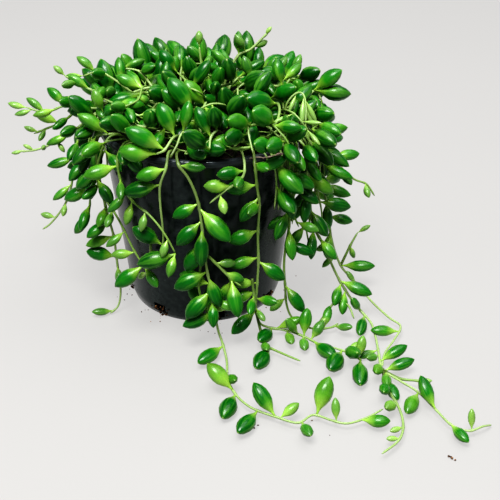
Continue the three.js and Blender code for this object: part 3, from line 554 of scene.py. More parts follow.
def grow_plant():
    """The stems first, as they hold the places, then the leaves: named ones before those by rule."""
    stems, leaves = [], {}
    for name, parts in STRANDS.items():
        for angle, route, entries in parts:
            rim = over_rim(angle) if angle is not None else []
            points = rim + [np.array([*point, LYING_HEIGHT][:3], float) for point in route]
            stems.append(stem_record(name, points, 0, entries, len(rim)))
    hanging = [stem_record(f"strand_rim_{i + 1:02d}", hanging_route(angle, tip), len(RIM_CROSSING))
               for i, (angle, tip) in enumerate(HANGING)]
    crown = [stem_record("crown", crown_route(i), 0.8) for i in range(CROWN_STEMS)]
    sprigs = [stem_record("crown", route, 0, entries) for route, entries in SPRIGS]

    def keep(stem, found):
        leaves.setdefault(stem["owner"], []).extend(leaf for leaf in found if leaf)

    for stem in stems:
        keep(stem, named_leaves(stem))
    for stem in hanging:
        keep(stem, ruled_leaves(stem, HANG_LEAF_STEP, HANG_LEAF_LENGTH, 0.55, straight_out))
    for stem in sprigs:
        keep(stem, named_leaves(stem))
    for stem in crown:
        keep(stem, ruled_leaves(stem, CROWN_LEAF_STEP, CROWN_LEAF_LENGTH, 0.2, out_and_up))
    leaves["crown"].extend(leaf for leaf in heart_leaves() if leaf)
    return stems + hanging + sprigs + crown, leaves


# ---- more growth, which the solids leave out

FILL_STEMS = 130
FILL_FOOT = 45.0
FILL_LEAF_STEP = 6.5
FILL_LEAF_LENGTH = 18.5
FILL_LIMITS = {"own_overlap": 1.7, "clearance": 0.1}
# on from the foot, each time: how far out, and how deep under the dome
FILL_STEPS = [(3, 13), (9, 6), (11, 1), (10, -3)]
FILL_STRAY = 2
FILL_UPWARD = 0.3
FILL_ANY_WAY = (0.8, 0.8, 0.4)
FILL_TURNS = (55, 35)
FILL_REACH = CROWN_REACH - 4
# from this far out a stem keeps over the rim, and nearer over the compost
RIM_FROM = 44
OVER_RIM, OVER_SOIL = 101.5, 94
# angle at the rim, height of the tip
SKIRT = [
    (-170, 94), (-158, 96), (-146, 93), (-137, 95), (-129, 93), (-58, 91), (-50, 88), (-43, 80), (-36, 74),
    (-29, 70), (-21, 74), (-13, 70), (-3, 76), (7, 84), (17, 86), (28, 80), (39, 84), (50, 78), (62, 86),
    (74, 80), (86, 84), (98, 78), (110, 86), (122, 80), (134, 84), (146, 80), (157, 86), (168, 84),
]
SKIRT_TOP = 99.5
SKIRT_STEP = 5.0
SKIRT_SWAY = 2.2
SKIRT_FLARE = 0.16
SKIRT_ANY_WAY = 0.45
SKIRT_LEAF_STEP = 6.0
SKIRT_LEAF_LENGTH = 17.0
CURTAINS = {
    "curtain_right": [(-47, 62, 58), (-40, 48, 60), (-33, 40, 61), (-26, 46, 60), (-19, 38, 62),
                      (-12, 46, 60), (-5, 52, 61), (5, 60, 60), (14, 56, 60)],
    "curtain_left": [(-176, 60, 57.5)],
}
CURTAIN_LEAF_STEP = 8.0
# more sprigs of the crown, as SPRIGS
SPRAYS = [
    ([(-18, 4, 101), (-26, 8, 112), (-33, 16, 117), (-42, 18, 118)],
     [(1, -115, 35, 16), (2, -40, 25, 13), (3, 15, 15, 12)]),
    ([(-12, 20, 104), (-12, 30, 115), (-1, 37, 114.5)], [(1, -45, 25, 15), (2, 170, 35, 12)]),
    ([(10, 8, 104), (8, 18, 118), (3, 22, 118)], [(1, 0, 10, 13), (2, 110, 40, 13)]),
    ([(8, -6, 102), (8, -14.5, 117), (11.5, -21, 115.5), (17.5, -24, 116.5), (18, -5, 117.5)],
     [(1, -85, 28, 13), (2, 180, 5, 17), (2.5, -90, 28, 12), (3, -90, 25, 13), (4, -90, 25, 13)]),
    ([(-6, -20, 101), (-6, -32, 114.5), (-2, -31, 115)], [(1, -80, 0, 14), (1.6, -85, 10, 12)]),
    ([(38, 14, 104), (46, 22, 113), (51, 18, 114)], [(1, 40, 65, 11), (2, 0, 20, 12)]),
    ([(28, 4, 98), (50, 3, 110), (58, 14, 108), (61, 12, 104)],
     [(1, -105, 45, 15), (2, -20, 10, 16), (3, -70, -5, 17)]),
    ([(12, -25, 99), (25, -52, 106), (15, -54, 106)], [(1, -120, 10, 16), (2, -85, 0, 15)]),
]
# more sprigs on the hanging strands, as SPRIGS
LOW_SPRIGS = [
    ([(3, -60, 59), (1, -59.5, 46), (0, -60, 34), (3, -59.5, 22), (5.5, -59.5, 15)],
     [(1.1, 178, -30, 19), (1.2, -60, -62, 16), (2, -165, -45, 17), (3, -155, 15, 14),
      (3.9, -175, 18, 18)]),
    ([(9, -62, 49), (15, -59.5, 40), (16, -58.5, 28), (15, -58, 20)],
     [(1.2, -75, -66, 17), (2.3, 185, -5, 12), (3, -160, 10, 10)]),
    ([(26, -54, 36), (27, -54, 26), (28, -54.5, 19)], [(1, -150, -15, 13), (2, -60, -20, 9)]),
    ([(-23, -54, 57), (-24, -52.5, 45), (-26, -52, 38), (-29, -51, 35)],
     [(1, -160, -10, 12), (2, 170, -40, 8)]),
    ([(75, -4.5, 14), (80, 0, 24), (84, 4, 30)], [(1, -20, -60, 9), (2, 10, 30, 8)]),
    ([(59, -51, 4), (64, -44, 8), (70, -40, 14), (76, -41, 12), (79, -46, 7)],
     [(1, 60, 30, 10), (2, 100, 45, 9), (3, 30, 20, 8)]),
]
# pale stems that wind over the crown
RUNNERS = [
    [(-52, -2, 108), (-50.3, -7.5, 111.5), (-40.3, -24.3, 115), (-32.8, -35, 116), (-26.9, -38.4, 114.5)],
    [(-42.1, -24.4, 108.8), (-35.3, -30.1, 115.5), (-29.1, -25.2, 117.5), (-28.5, -12, 118.5),
     (-27.6, -0.2, 115.5)],
    [(-3.9, -35.4, 111.7), (-0.9, -37.5, 116.2), (2.8, -35.8, 118.5), (7.3, -33, 119), (11.9, -31.6, 118),
     (15.5, -25.4, 113)],
    [(15.1, -7.9, 113.9), (19.1, -8.3, 118.5), (23.9, -3.3, 120), (28.4, 8.1, 119), (32.5, 18, 115)],
    [(19.4, -32.5, 111.8), (22.8, -44.3, 113.5), (23.8, -50.5, 110.5), (25.7, -55.9, 104.5)],
    [(-11.5, -59.6, 103.5), (-8.7, -55.5, 107.6), (-7.5, -51.4, 110.2), (-5.9, -47.6, 111.6),
     (-5.7, -37.2, 111)],
    [(-11.6, -7, 113.7), (-6, -14.6, 119.4), (-1, -18.3, 119.4), (2.5, -12.4, 114)],
    [(30.8, -31.7, 110.6), (34.8, -43.4, 112.8), (38, -46.7, 110.8), (41.2, -49, 107.6),
     (43.3, -50, 102.2)],
    [(40.4, -17.6, 110.4), (39.8, -4.9, 117.4), (40.8, 9.3, 116)],
]
RUNNER_LEAF_STEP = 11.0
RUNNER_LEAF_LENGTH = 13.0
# a bent pale shoot: its stems, each with leaves as for the strands
SHOOTS = [
    ([(40.3, -27.4, 107.3), (41.2, -26, 115.5), (44, -23.8, 119.5), (47.6, -21.3, 120.6),
      (49.8, -22.6, 119.2), (50.6, -28.1, 115.4), (50.4, -33.1, 109.4)],
     [(3.7, -40, -68, 15), (3.9, -95, -58, 13), (4.3, -15, -62, 12), (2.6, -125, -52, 9),
      (6, -70, -60, 8)]),
    ([(40.1, -17.8, 109.9), (41.1, -29.4, 114.8), (44.3, -33.7, 115.1), (47.5, -37.3, 113.1),
      (51, -37.7, 108.5)],
     [(2.1, 200, -20, 10), (3.2, -20, 5, 10), (4, -50, -30, 10)]),
]
SLIM = 0.5
SLIM_FACE = np.array([0.3, -0.4, 1.0])


def fill_route(index, chance):
    """A stem that rises from the compost and winds out over the mound, higher or lower at random."""
    angle = index * GOLDEN_ANGLE
    foot = FILL_FOOT * math.sqrt((index + 0.5) / FILL_STEMS)
    heading = angle + chance.normal(0, FILL_TURNS[0])
    place = polar(foot, angle, SOIL_TOP + 1.5) + (*CROWN_CENTRE, 0)
    route = [place]
    for step, below in FILL_STEPS:
        place = place + polar(step, heading, 0)
        outward = math.hypot(place[0], place[1])
        if outward > FILL_REACH:
            place[:2] *= FILL_REACH / outward
        height = crown_height(min(outward, CROWN_REACH)) - below + chance.uniform(-FILL_STRAY, FILL_STRAY)
        lowest = OVER_RIM if outward > RIM_FROM else OVER_SOIL
        route.append(np.array([place[0], place[1], max(height, lowest)]))
        heading += chance.normal(0, FILL_TURNS[1])
    return route


def skirt_route(angle, tip, chance):
    """A short stem over the rim: out with the others, then down beside the wall to its tip."""
    drops = np.arange(SKIRT_TOP, tip - 1, -SKIRT_STEP)
    swing = np.cumsum(chance.normal(0, SKIRT_SWAY, len(drops)))
    return over_rim(angle) + [polar(HANG_RADIUS + SKIRT_FLARE * (SKIRT_TOP - drop), angle + turn, drop)
                              for drop, turn in zip(drops, swing)]


def fill_plant():
    """Stems and leaves for the gaps of the crown, a skirt of leaves over the rim, and stems that hang
    thickly at both sides."""
    chance = np.random.default_rng(23)
    leaves = {}

    def any_way(root):
        return unit(out_and_up(root) * FILL_UPWARD + chance.normal(0, FILL_ANY_WAY))

    def out_any_way(root):
        return unit(straight_out(root) + chance.normal(0, SKIRT_ANY_WAY, 3))

    runners = [stem_record("crown_runners", route, 1) for route in RUNNERS]
    placed = [stem_record("pale_shoot", route, 0, entries) for route, entries in SHOOTS]
    leaves["pale_shoot"] = [slim_leaf(stem, *entry) for stem in placed for entry in stem["entries"]]
    for owner, sprigs in (("crown_sprays", SPRAYS), ("low_sprigs", LOW_SPRIGS)):
        found = [stem_record(owner, route, 0, entries) for route, entries in sprigs]
        leaves[owner] = [leaf for stem in found for leaf in named_leaves(stem) if leaf]
        placed += found
    skirt = [stem_record("rim_skirt", skirt_route(angle, tip, chance), 1.2) for angle, tip in SKIRT]
    fill = [stem_record("crown_fill", fill_route(i, chance), 0.4) for i in range(FILL_STEMS)]
    curtains = [stem_record(owner, hanging_route(*strand), 3)
                for owner, strands in CURTAINS.items() for strand in strands]
    # stems, spacing and length of their leaves, pull to the side they lean to, and that side
    rules = [
        (runners, RUNNER_LEAF_STEP, RUNNER_LEAF_LENGTH, 0.6, any_way),
        (skirt, SKIRT_LEAF_STEP, SKIRT_LEAF_LENGTH, 0.5, out_any_way),
        (curtains, CURTAIN_LEAF_STEP, HANG_LEAF_LENGTH, 0.4, straight_out),
        (fill, FILL_LEAF_STEP, FILL_LEAF_LENGTH, 0.35, any_way),
    ]
    for group, *rule in rules:
        for stem in group:
            found = ruled_leaves(stem, *rule, **FILL_LIMITS)
            leaves.setdefault(stem["owner"], []).extend(leaf for leaf in found if leaf)
    return placed + runners + skirt + curtains + fill, leaves


def slim_leaf(stem, place, heading, rise, length):
    """A leaf of the pale shoot, which opens late: long and narrow, and placed without a test."""
    root = stem["curve"].point(place / stem["last"])
    return {"root": root, "along": direction(heading, rise), "face": SLIM_FACE, "length": length,
            "slim": SLIM}


# ---- meshes

def add_object(name, points, faces, materials, slots=None, attributes=None, body=True):
    """A mesh object from points in millimetres. Faces come as arrays, one face a row, an array for each
    number of corners; attributes are one number for each point."""
    mesh = bpy.data.meshes.new(name)
    corners = np.concatenate([np.ravel(part) for part in faces])
    sizes = np.concatenate([np.full(len(part), part.shape[1]) for part in faces])
    mesh.vertices.add(len(points))
    mesh.vertices.foreach_set("co", np.asarray(points, np.float32).ravel() * MM)
    mesh.loops.add(len(corners))
    mesh.loops.foreach_set("vertex_index", corners.astype(np.int32))
    mesh.polygons.add(len(sizes))
    mesh.polygons.foreach_set("loop_start", (np.cumsum(sizes) - sizes).astype(np.int32))
    for key, values in (attributes or {}).items():
        layer = mesh.attributes.new(key, "FLOAT", "POINT")
        layer.data.foreach_set("value", np.asarray(values, np.float32))
    for material in materials:
        mesh.materials.append(material)
    if slots is not None:
        mesh.polygons.foreach_set("material_index", np.asarray(slots, np.int32))
    mesh.update(calc_edges=True)
    mesh.shade_smooth()
    piece = bpy.data.objects.new(name, mesh)
    bpy.context.scene.collection.objects.link(piece)
    if body:
        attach(piece, "root")
    return piece


def ring_faces(rings, sides):
    """Quads between neighbouring rings, and one face to close each end."""
    row = np.arange(rings - 1)[:, None] * sides
    here, following = np.arange(sides)[None], np.roll(np.arange(sides), -1)[None]
    quads = np.stack([row + here, row + following, row + sides + following, row + sides + here], axis=2)
    ends = np.stack([np.arange(sides)[::-1], np.arange(sides) + (rings - 1) * sides])
    return [quads.reshape(-1, 4), ends]


def repeated(faces, count, stride):
    """The same faces for each of count shapes, whose points follow each other by stride."""
    shift = (np.arange(count) * stride)[:, None, None]
    return [(part[None] + shift).reshape(-1, part.shape[1]) for part in faces]


def steady_frames(tangents):
    """Two cross directions along a path that don't twist: any cross direction, turned back by the
    running sum of the angles between neighbours."""
    upright = np.abs(tangents[:, 2:]) < 0.8
    first = np.cross(tangents, np.where(upright, (0.0, 0.0, 1.0), (1.0, 0.0, 0.0)))
    first /= np.linalg.norm(first, axis=1, keepdims=True)
    second = np.cross(tangents, first)
    turn = np.arctan2((first[:-1] * second[1:]).sum(axis=1), (first[:-1] * first[1:]).sum(axis=1))
    angle = np.concatenate([[0], np.cumsum(turn)])[:, None]
    steady = first * np.cos(angle) + second * np.sin(angle)
    return steady, np.cross(tangents, steady)


class Growth:
    """Collects the stems and leaves of one piece as points, faces and attributes."""

    def __init__(self):
        self.points, self.faces, self.slots = [], [], []
        self.attributes = {"along": [], "tone": [], "around": [], "young": []}
        self.count = 0

    def add(self, points, faces, slot, **attributes):
        self.points.append(points)
        self.faces += [part + self.count for part in faces]
        self.slots += [np.full(len(part), slot) for part in faces]
        for key, kept in self.attributes.items():
            kept.append(np.broadcast_to(attributes.get(key, 0.0), len(points)))
        self.count += len(points)

    def finished(self, name, materials):
        attributes = {key: np.concatenate(kept) for key, kept in self.attributes.items()}
        return add_object(name, np.vstack(self.points), self.faces, materials, np.concatenate(self.slots),
                          attributes)


STEM_RING = 8
STEM_SPAN = 1.8
STEM_FOOT_RADIUS = 0.78
STEM_THINS = 0.3
STEM_END = 0.35
JOINT_SWELL = 0.35
LEAF_RING = 8
# half the thickness, as a share of half the width: towards the face, and towards the back
LEAF_DEPTH = (0.78, 0.9)
# along the leaf, and its half width there as a share of the widest
LEAF_OUTLINE = np.array([
    (0.0, 0.12), (0.09, 0.14), (0.18, 0.28), (0.29, 0.6), (0.42, 0.9), (0.56, 1.0), (0.71, 0.94),
    (0.84, 0.71), (0.94, 0.36), (1.0, 0.03),
])


def stem_into(growth, curve, tone, joints, thick=1.0):
    """A round tube along the curve that thins to its tip and swells a little where each leaf joins:
    radius = taper * (1 + swell * exp(-(distance to the nearest joint in mm)^2))."""
    count = max(6, math.ceil(curve.length / STEM_SPAN))
    share = np.linspace(0, 1, count + 1)
    path = curve.at(share)
    tangents = curve.at(np.minimum(share + 1e-4, 1)) - curve.at(np.maximum(share - 1e-4, 0))
    tangents /= np.linalg.norm(tangents, axis=1, keepdims=True)
    one, two = steady_frames(tangents)
    radius = (STEM_FOOT_RADIUS - STEM_THINS * share) * thick
    if len(joints):
        away = np.linalg.norm(path[:, None] - np.array(joints)[None], axis=2).min(axis=1)
        radius = radius * (1 + JOINT_SWELL * np.exp(-(away**2)))
    radius[-1] *= STEM_END
    turn = np.linspace(0, 2 * math.pi, STEM_RING, endpoint=False)
    ring = one[:, None] * np.cos(turn)[None, :, None] + two[:, None] * np.sin(turn)[None, :, None]
    points = path[:, None] + ring * radius[:, None, None]
    growth.add(points.reshape(-1, 3), ring_faces(count + 1, STEM_RING), 0,
               along=np.repeat(share, STEM_RING), tone=tone)


looks = np.random.default_rng(7)
# how one leaf differs from the next: the two powers of the beta spread of its tone, the lowest and highest
# plumpness and stretch, and the mean and deviation of its bend and sway
LEAF_TONE = (1.2, 1.7)
LEAF_PLUMP = (0.95, 1.15)
LEAF_LONG = (1.0, 1.12)
LEAF_BEND = (0.02, 0.035)
LEAF_SWAY = (0, 0.025)
FRESH_SLIMMER = 0.16


def looks_of(length, height, slim, fresh):
    """A look for each leaf. Leaves of a fresh strand are slimmer than those of the crown and paler, most
    where they hang low; long leaves are darker; one under 13 mm is young, fully so at 5 mm."""
    count = len(length)
    low = np.clip((70 - height) / 50, 0.15, 1)
    tone = looks.beta(*LEAF_TONE, count) * 0.9 + (0.1 + 0.25 * low) * fresh
    return {
        "tone": np.clip(tone - (length - 15) * 0.04, 0, 1),
        "plump": (looks.uniform(*LEAF_PLUMP, count) - FRESH_SLIMMER * fresh) * slim,
        "long": looks.uniform(*LEAF_LONG, count),
        "bend": looks.normal(*LEAF_BEND, count),
        "sway": looks.normal(*LEAF_SWAY, count),
        "young": np.where(slim < 1, 1.0, np.clip((13 - length) / 8, 0, 1)),
    }


def leaves_into(growth, leaves, fresh):
    """Plump tears, all at once: rings of half width w(a) about a line that bends by bend * a^2 towards
    the leaf's face and by sway * a^2 to its side. The face is a little flatter than the back."""
    root, along, face = (np.array([leaf[key] for leaf in leaves]) for key in ("root", "along", "face"))
    length = np.array([leaf["length"] for leaf in leaves])
    slim = np.array([leaf.get("slim", 1.0) for leaf in leaves])
    look = looks_of(length, root[:, 2], slim, fresh)
    side = np.cross(along, face)
    side /= np.linalg.norm(side, axis=1, keepdims=True)
    normal = np.cross(side, along)
    a, w = LEAF_OUTLINE.T
    turn = np.linspace(0, 2 * math.pi, LEAF_RING, endpoint=False)
    lift = np.sin(turn) * np.where(np.sin(turn) > 0, *LEAF_DEPTH)
    reach = (length * look["long"])[:, None]
    spine = (root[:, None] + along[:, None] * (reach * a)[..., None]
             + normal[:, None] * (look["bend"][:, None] * reach * a**2)[..., None]
             + side[:, None] * (look["sway"][:, None] * reach * a**2)[..., None])
    half = (length * LEAF_WIDTH / 2 * look["plump"])[:, None] * w
    ring = side[:, None] * np.cos(turn)[:, None] + normal[:, None] * lift[:, None]
    points = spine[:, :, None] + ring[:, None] * half[..., None, None]
    size = len(a) * LEAF_RING
    growth.add(points.reshape(-1, 3), repeated(ring_faces(len(a), LEAF_RING), len(leaves), size), 1,
               along=np.tile(np.repeat(a, LEAF_RING), len(leaves)), tone=np.repeat(look["tone"], size),
               around=np.tile(np.sin(turn), len(a) * len(leaves)), young=np.repeat(look["young"], size))


# how pale and slim the leaves of a piece are, from 0 to 1
FRESHNESS = {
    "crown": 0.0, "strand_front_long": 0.7, "strand_front_right": 0.6, "strand_right_long": 0.8,
    "strand_front_left": 0.6, "strand_front_corner": 0.7, "strand_left_front": 0.6,
    "strand_left_long": 0.7, "sprig_left_upper": 0.9, "sprig_left_rear": 0.9, "sprig_left_lower": 0.9,
    "strand_left_drooping": 0.7, "strand_right_corner": 0.7, "strand_right_side": 0.7, "curtain_right": 0.7,
    "low_sprigs": 0.9,
}
# how thick the stems of a piece are, where they aren't full grown
THICKNESS = {
    "crown_runners": 0.8, "rim_skirt": 0.85, "curtain_right": 0.9, "curtain_left": 0.9,
    "crown_fill": 0.6, "pale_shoot": 0.7,
}


def foliage(name, owner, grown, materials, fresh):
    """The stems and leaves of one owner as one piece."""
    stems, leaves = grown
    growth = Growth()
    joints = [leaf["root"] for leaf in leaves[owner]]
    for stem in stems:
        if stem["owner"] == owner:
            stem_into(growth, stem["curve"], looks.random(), joints, THICKNESS.get(owner, 1.0))
    leaves_into(growth, leaves[owner], FRESHNESS.get(owner, fresh))
    return growth.finished(name, materials)


# ---- materials

def colour(hex_value):
    """Linear colour of an sRGB hex value: ((c + 0.055) / 1.055)^2.4, or c / 12.92 where c is small."""
    parts = [int(hex_value[i:i + 2], 16) / 255 for i in (1, 3, 5)]
    return (*[((c + 0.055) / 1.055) ** 2.4 if c > 0.04045 else c / 12.92 for c in parts], 1.0)


def add_node(tree, kind, inputs=None, ramp=None, **settings):
    """Adds one node: its settings, the (place, sRGB hex or grey share) stops of its ramp, and its
    inputs. A socket is linked to its input, a node by its first output, and any other value is set."""
    node = tree.nodes.new("ShaderNode" + kind)
    for key, value in settings.items():
        setattr(node, key, value)
    for i, (place, shade) in enumerate(ramp or ()):
        stops = node.color_ramp.elements
        stop = stops[i] if i < 2 else stops.new(place)
        stop.position = place
        stop.color = colour(shade) if isinstance(shade, str) else (shade, shade, shade, 1)
    for key, value in (inputs or {}).items():
        value = value.outputs[0] if isinstance(value, bpy.types.Node) else value
        if isinstance(value, bpy.types.NodeSocket):
            tree.links.new(value, node.inputs[key])
        else:
            node.inputs[key].default_value = value
    return node


def coated(tree, base, *coats):
    """Lays colours over a base, one on another. A coat is (what to read, the stops from that to how
    much of the coat shows, its sRGB hex)."""
    for mask, stops, shade in coats:
        share = add_node(tree, "ValToRGB", {0: mask}, ramp=stops)
        base = add_node(tree, "Mix", {0: share, 6: base, 7: colour(shade)}, data_type="RGBA").outputs[2]
    return base


def new_material(name):
    """A bare material, its node tree, and the place on the object, in metres."""
    material = bpy.data.materials.new(name)
    material.use_nodes = True
    tree = material.node_tree
    tree.nodes.clear()
    return material, tree, add_node(tree, "TexCoord").outputs["Object"]


def shaded(material, inputs):
    """Gives a material its shader, with these inputs."""
    shader = add_node(material.node_tree, "BsdfPrincipled", inputs)
    add_node(material.node_tree, "OutputMaterial", {"Surface": shader})
    return material


def leaf_material():
    """Succulent leaf, grown: a thin waxy skin over clear watery flesh. To the eye it is deep green with
    small crisp highlights, yellow-green at its foot where the light comes through, and faintly
    streaked lengthwise."""
    material, tree, place = new_material("succulent_leaf")
    along, tone, around, young = (add_node(tree, "Attribute", attribute_name=key).outputs["Fac"]
                                  for key in ("along", "tone", "around", "young"))
    lengthwise = add_node(tree, "CombineXYZ", {"X": around, "Y": along, "Z": tone})
    lengthwise = add_node(tree, "Mapping", {"Vector": lengthwise, "Scale": (3.2, 0.7, 60.0)})
    streak = add_node(tree, "TexNoise", {"Vector": lengthwise, "Scale": 1.6, "Detail": 1.0})
    blotch = add_node(tree, "TexNoise", {"Vector": place, "Scale": 160.0, "Detail": 2.0})
    edge = add_node(tree, "Math", {0: around}, operation="ABSOLUTE")
    foot = add_node(tree, "Math", {0: tone, 1: -0.25, 2: along}, operation="MULTIPLY_ADD")
    green = add_node(tree, "ValToRGB", {0: tone}, ramp=(
        (0.0, "#04430c"), (0.35, "#0e5f18"), (0.65, "#2c7c1e"), (1.0, "#6fa038")))
    green = coated(
        tree, green,
        (edge, ((0.1, 0.5), (0.6, 0.0)), "#6ca244"),
        (blotch, ((0.4, 0.0), (0.7, 0.4)), "#033a0a"),
        (streak, ((0.5, 0.0), (0.68, 0.45)), "#649f38"),
        (along, ((0.35, 0.0), (0.85, 0.45)), "#043f08"),
        (foot, ((0.02, 0.85), (0.34, 0.0)), "#8fb44c"),
        (young, ((0.0, 0.0), (1.0, 0.6)), "#93ad66"),
        (along, ((0.97, 0.0), (1.0, 0.4)), "#b9c97a"),
    )
    skin = add_node(tree, "TexNoise", {"Vector": place, "Scale": 900.0, "Detail": 1.0})
    bump = add_node(tree, "Bump", {"Strength": 0.1, "Distance": 0.0002, "Height": skin})
    return shaded(material, {
        "Base Color": green, "Normal": bump, "Roughness": 0.28, "IOR": 1.4, "Specular IOR Level": 0.5,
        "Subsurface Weight": 0.12, "Subsurface Radius": (0.6, 1.0, 0.2), "Subsurface Scale": 0.002,
    })


def stem_material():
    """Live green stem, grown: thin and smooth. It is pale and a little see-through, and darker and browner
    over its first half from where it leaves the compost, as painted shade for the dark gaps deep in the
    crown."""
    material, tree, place = new_material("live_stem")
    along, tone = (add_node(tree, "Attribute", attribute_name=key).outputs["Fac"]
                   for key in ("along", "tone"))
    blotch = add_node(tree, "TexNoise", {"Vector": place, "Scale": 120.0, "Detail": 3.0})
    green = add_node(tree, "ValToRGB", {0: tone}, ramp=((0.0, "#6f8c46"), (1.0, "#8fa46c")))
    green = coated(
        tree, green,
        # painted shade: the first half of each stem is darkened to stand in for the shade deep in the crown
        (along, ((0.0, 0.9), (0.5, 0.0)), "#3c4a1e"),
        (blotch, ((0.45, 0.0), (0.75, 0.4)), "#5c7d36"),
    )
    return shaded(material, {
        "Base Color": green, "Roughness": 0.42, "IOR": 1.42, "Subsurface Weight": 0.1,
        "Subsurface Radius": (0.6, 1.0, 0.25), "Subsurface Scale": 0.001,
    })


def pot_material():
    """Polypropylene, injection moulded in a polished mould: a dark mirror whose faint upright ripple
    breaks what it reflects, a little greyer on its rim band."""
    material, tree, place = new_material("moulded_black_polypropylene")
    upright = add_node(tree, "Mapping", {"Vector": place, "Scale": (1.0, 1.0, 0.2)})
    ripple = add_node(tree, "TexNoise", {"Vector": upright, "Scale": 85.0, "Detail": 2.0})
    dust = add_node(tree, "TexNoise", {"Vector": place, "Scale": 400.0, "Detail": 4.0})
    black = add_node(tree, "ValToRGB", {0: dust}, ramp=((0.4, "#1e2525"), (0.8, "#333a39")))
    height = add_node(tree, "SeparateXYZ", {"Vector": place}).outputs["Z"]
    band = add_node(tree, "Math", {0: height, 1: (POT_HEIGHT - BAND_HEIGHT) * MM}, operation="GREATER_THAN")
    black = coated(tree, black, (band, ((0.0, 0.0), (1.0, 1.0)), "#3a3e41"))
    rough = add_node(tree, "MapRange", {
        "Value": dust, "From Min": 0.3, "From Max": 0.8, "To Min": 0.12, "To Max": 0.3,
    })
    bump = add_node(tree, "Bump", {"Strength": 0.4, "Distance": 0.0006, "Height": ripple})
    return shaded(material, {
        "Base Color": black, "Roughness": rough, "Normal": bump, "IOR": 1.5,
        "Specular IOR Level": 0.5, "Specular Tint": colour("#ccd6d4"),
    })


def soil_material():
    """Peat compost, pressed in by hand: dark brown, crumbly and dull."""
    material, tree, place = new_material("peat_compost")
    grain = add_node(tree, "TexNoise", {"Vector": place, "Scale": 500.0, "Detail": 5.0})
    brown = add_node(tree, "ValToRGB", {0: grain}, ramp=((0.35, "#150f0a"), (0.7, "#3c2c20")))
    crumbs = add_node(tree, "TexVoronoi", {"Vector": place, "Scale": 350.0})
    bump = add_node(tree, "Bump", {"Strength": 0.9, "Distance": 0.001, "Height": crumbs})
    return shaded(material, {"Base Color": brown, "Normal": bump, "Roughness": 0.95})


def speckled_material(name, scale, detail, ramp, inputs):
    """A dull material whose only pattern is a fine noise through a ramp of colours."""
    material, tree, place = new_material(name)
    grain = add_node(tree, "TexNoise", {"Vector": place, "Scale": scale, "Detail": detail})
    return shaded(material, {"Base Color": add_node(tree, "ValToRGB", {0: grain}, ramp=ramp), **inputs})


def crumb_material():
    """Compost crumbs that have dried out: lighter and browner than the compost they come from."""
    browns = ((0.4, "#2c1d13"), (0.52, "#5b3f2b"), (0.66, "#a78059"))
    return speckled_material("dry_compost", 600.0, 2.0, browns, {"Roughness": 0.95})


def root_material():
    """Aerial root, dried: thin, greyish brown and dull, paler and darker in short lengths."""
    return speckled_material("dried_root", 300.0, 3.0, ((0.35, "#a39184"), (0.7, "#6f605a")),
                             {"Roughness": 0.8})


def floor_material():
    """White board, matt coated and lit from below as a light table is, so that its shadows stay faint."""
    return speckled_material("matt_white_board", 3.0, 2.0, ((0.3, "#494846"), (0.7, "#4c4b49")), {
        "Roughness": 0.7, "Emission Color": colour("#cccbca"), "Emission Strength": 1.0,
    })


# ---- pot

POT_OUTLINE_OUT = [
    (BASE_RADIUS - 2.0, 0.0), (BASE_RADIUS - 0.5, 0.0), (BASE_RADIUS, 0.35), (40.75, 2.6),
    (WALL_FOOT_RADIUS - 0.12, CHAMFER_HEIGHT - 0.35), (WALL_FOOT_RADIUS + 0.05, CHAMFER_HEIGHT + 0.4),
    (WALL_FOOT_RADIUS + 0.285, 7.6), (44.1, 30.0), (47.0, 56.0), (49.7, 80.0), (WALL_TOP_RADIUS - 0.05, 94.0),
    (WALL_TOP_RADIUS + 0.15, 94.4), (RIM_RADIUS - 0.25, 94.65), (RIM_RADIUS, 95.0), (RIM_RADIUS, 97.0),
    (RIM_RADIUS - 0.22, 97.62), (RIM_RADIUS - 0.8, 98.0),
]
POT_OUTLINE_IN = [
    (50.2, 98.0), (49.85, 97.6), (WALL_TOP_RADIUS - WALL, 94.4), (45.4, 54.0), (40.29, 7.6),
    (WALL_FOOT_RADIUS - WALL, CHAMFER_HEIGHT), (38.0, 2.6), (BASE_RADIUS - WALL - 1, FLOOR),
]
# the rows of the two outlines between which the slots lie, in the order of the outlines
SLOT_ROWS_OUT = (3, 6)
SLOT_ROWS_IN = (21, 23)
POT_SHARP_ANGLE = 38


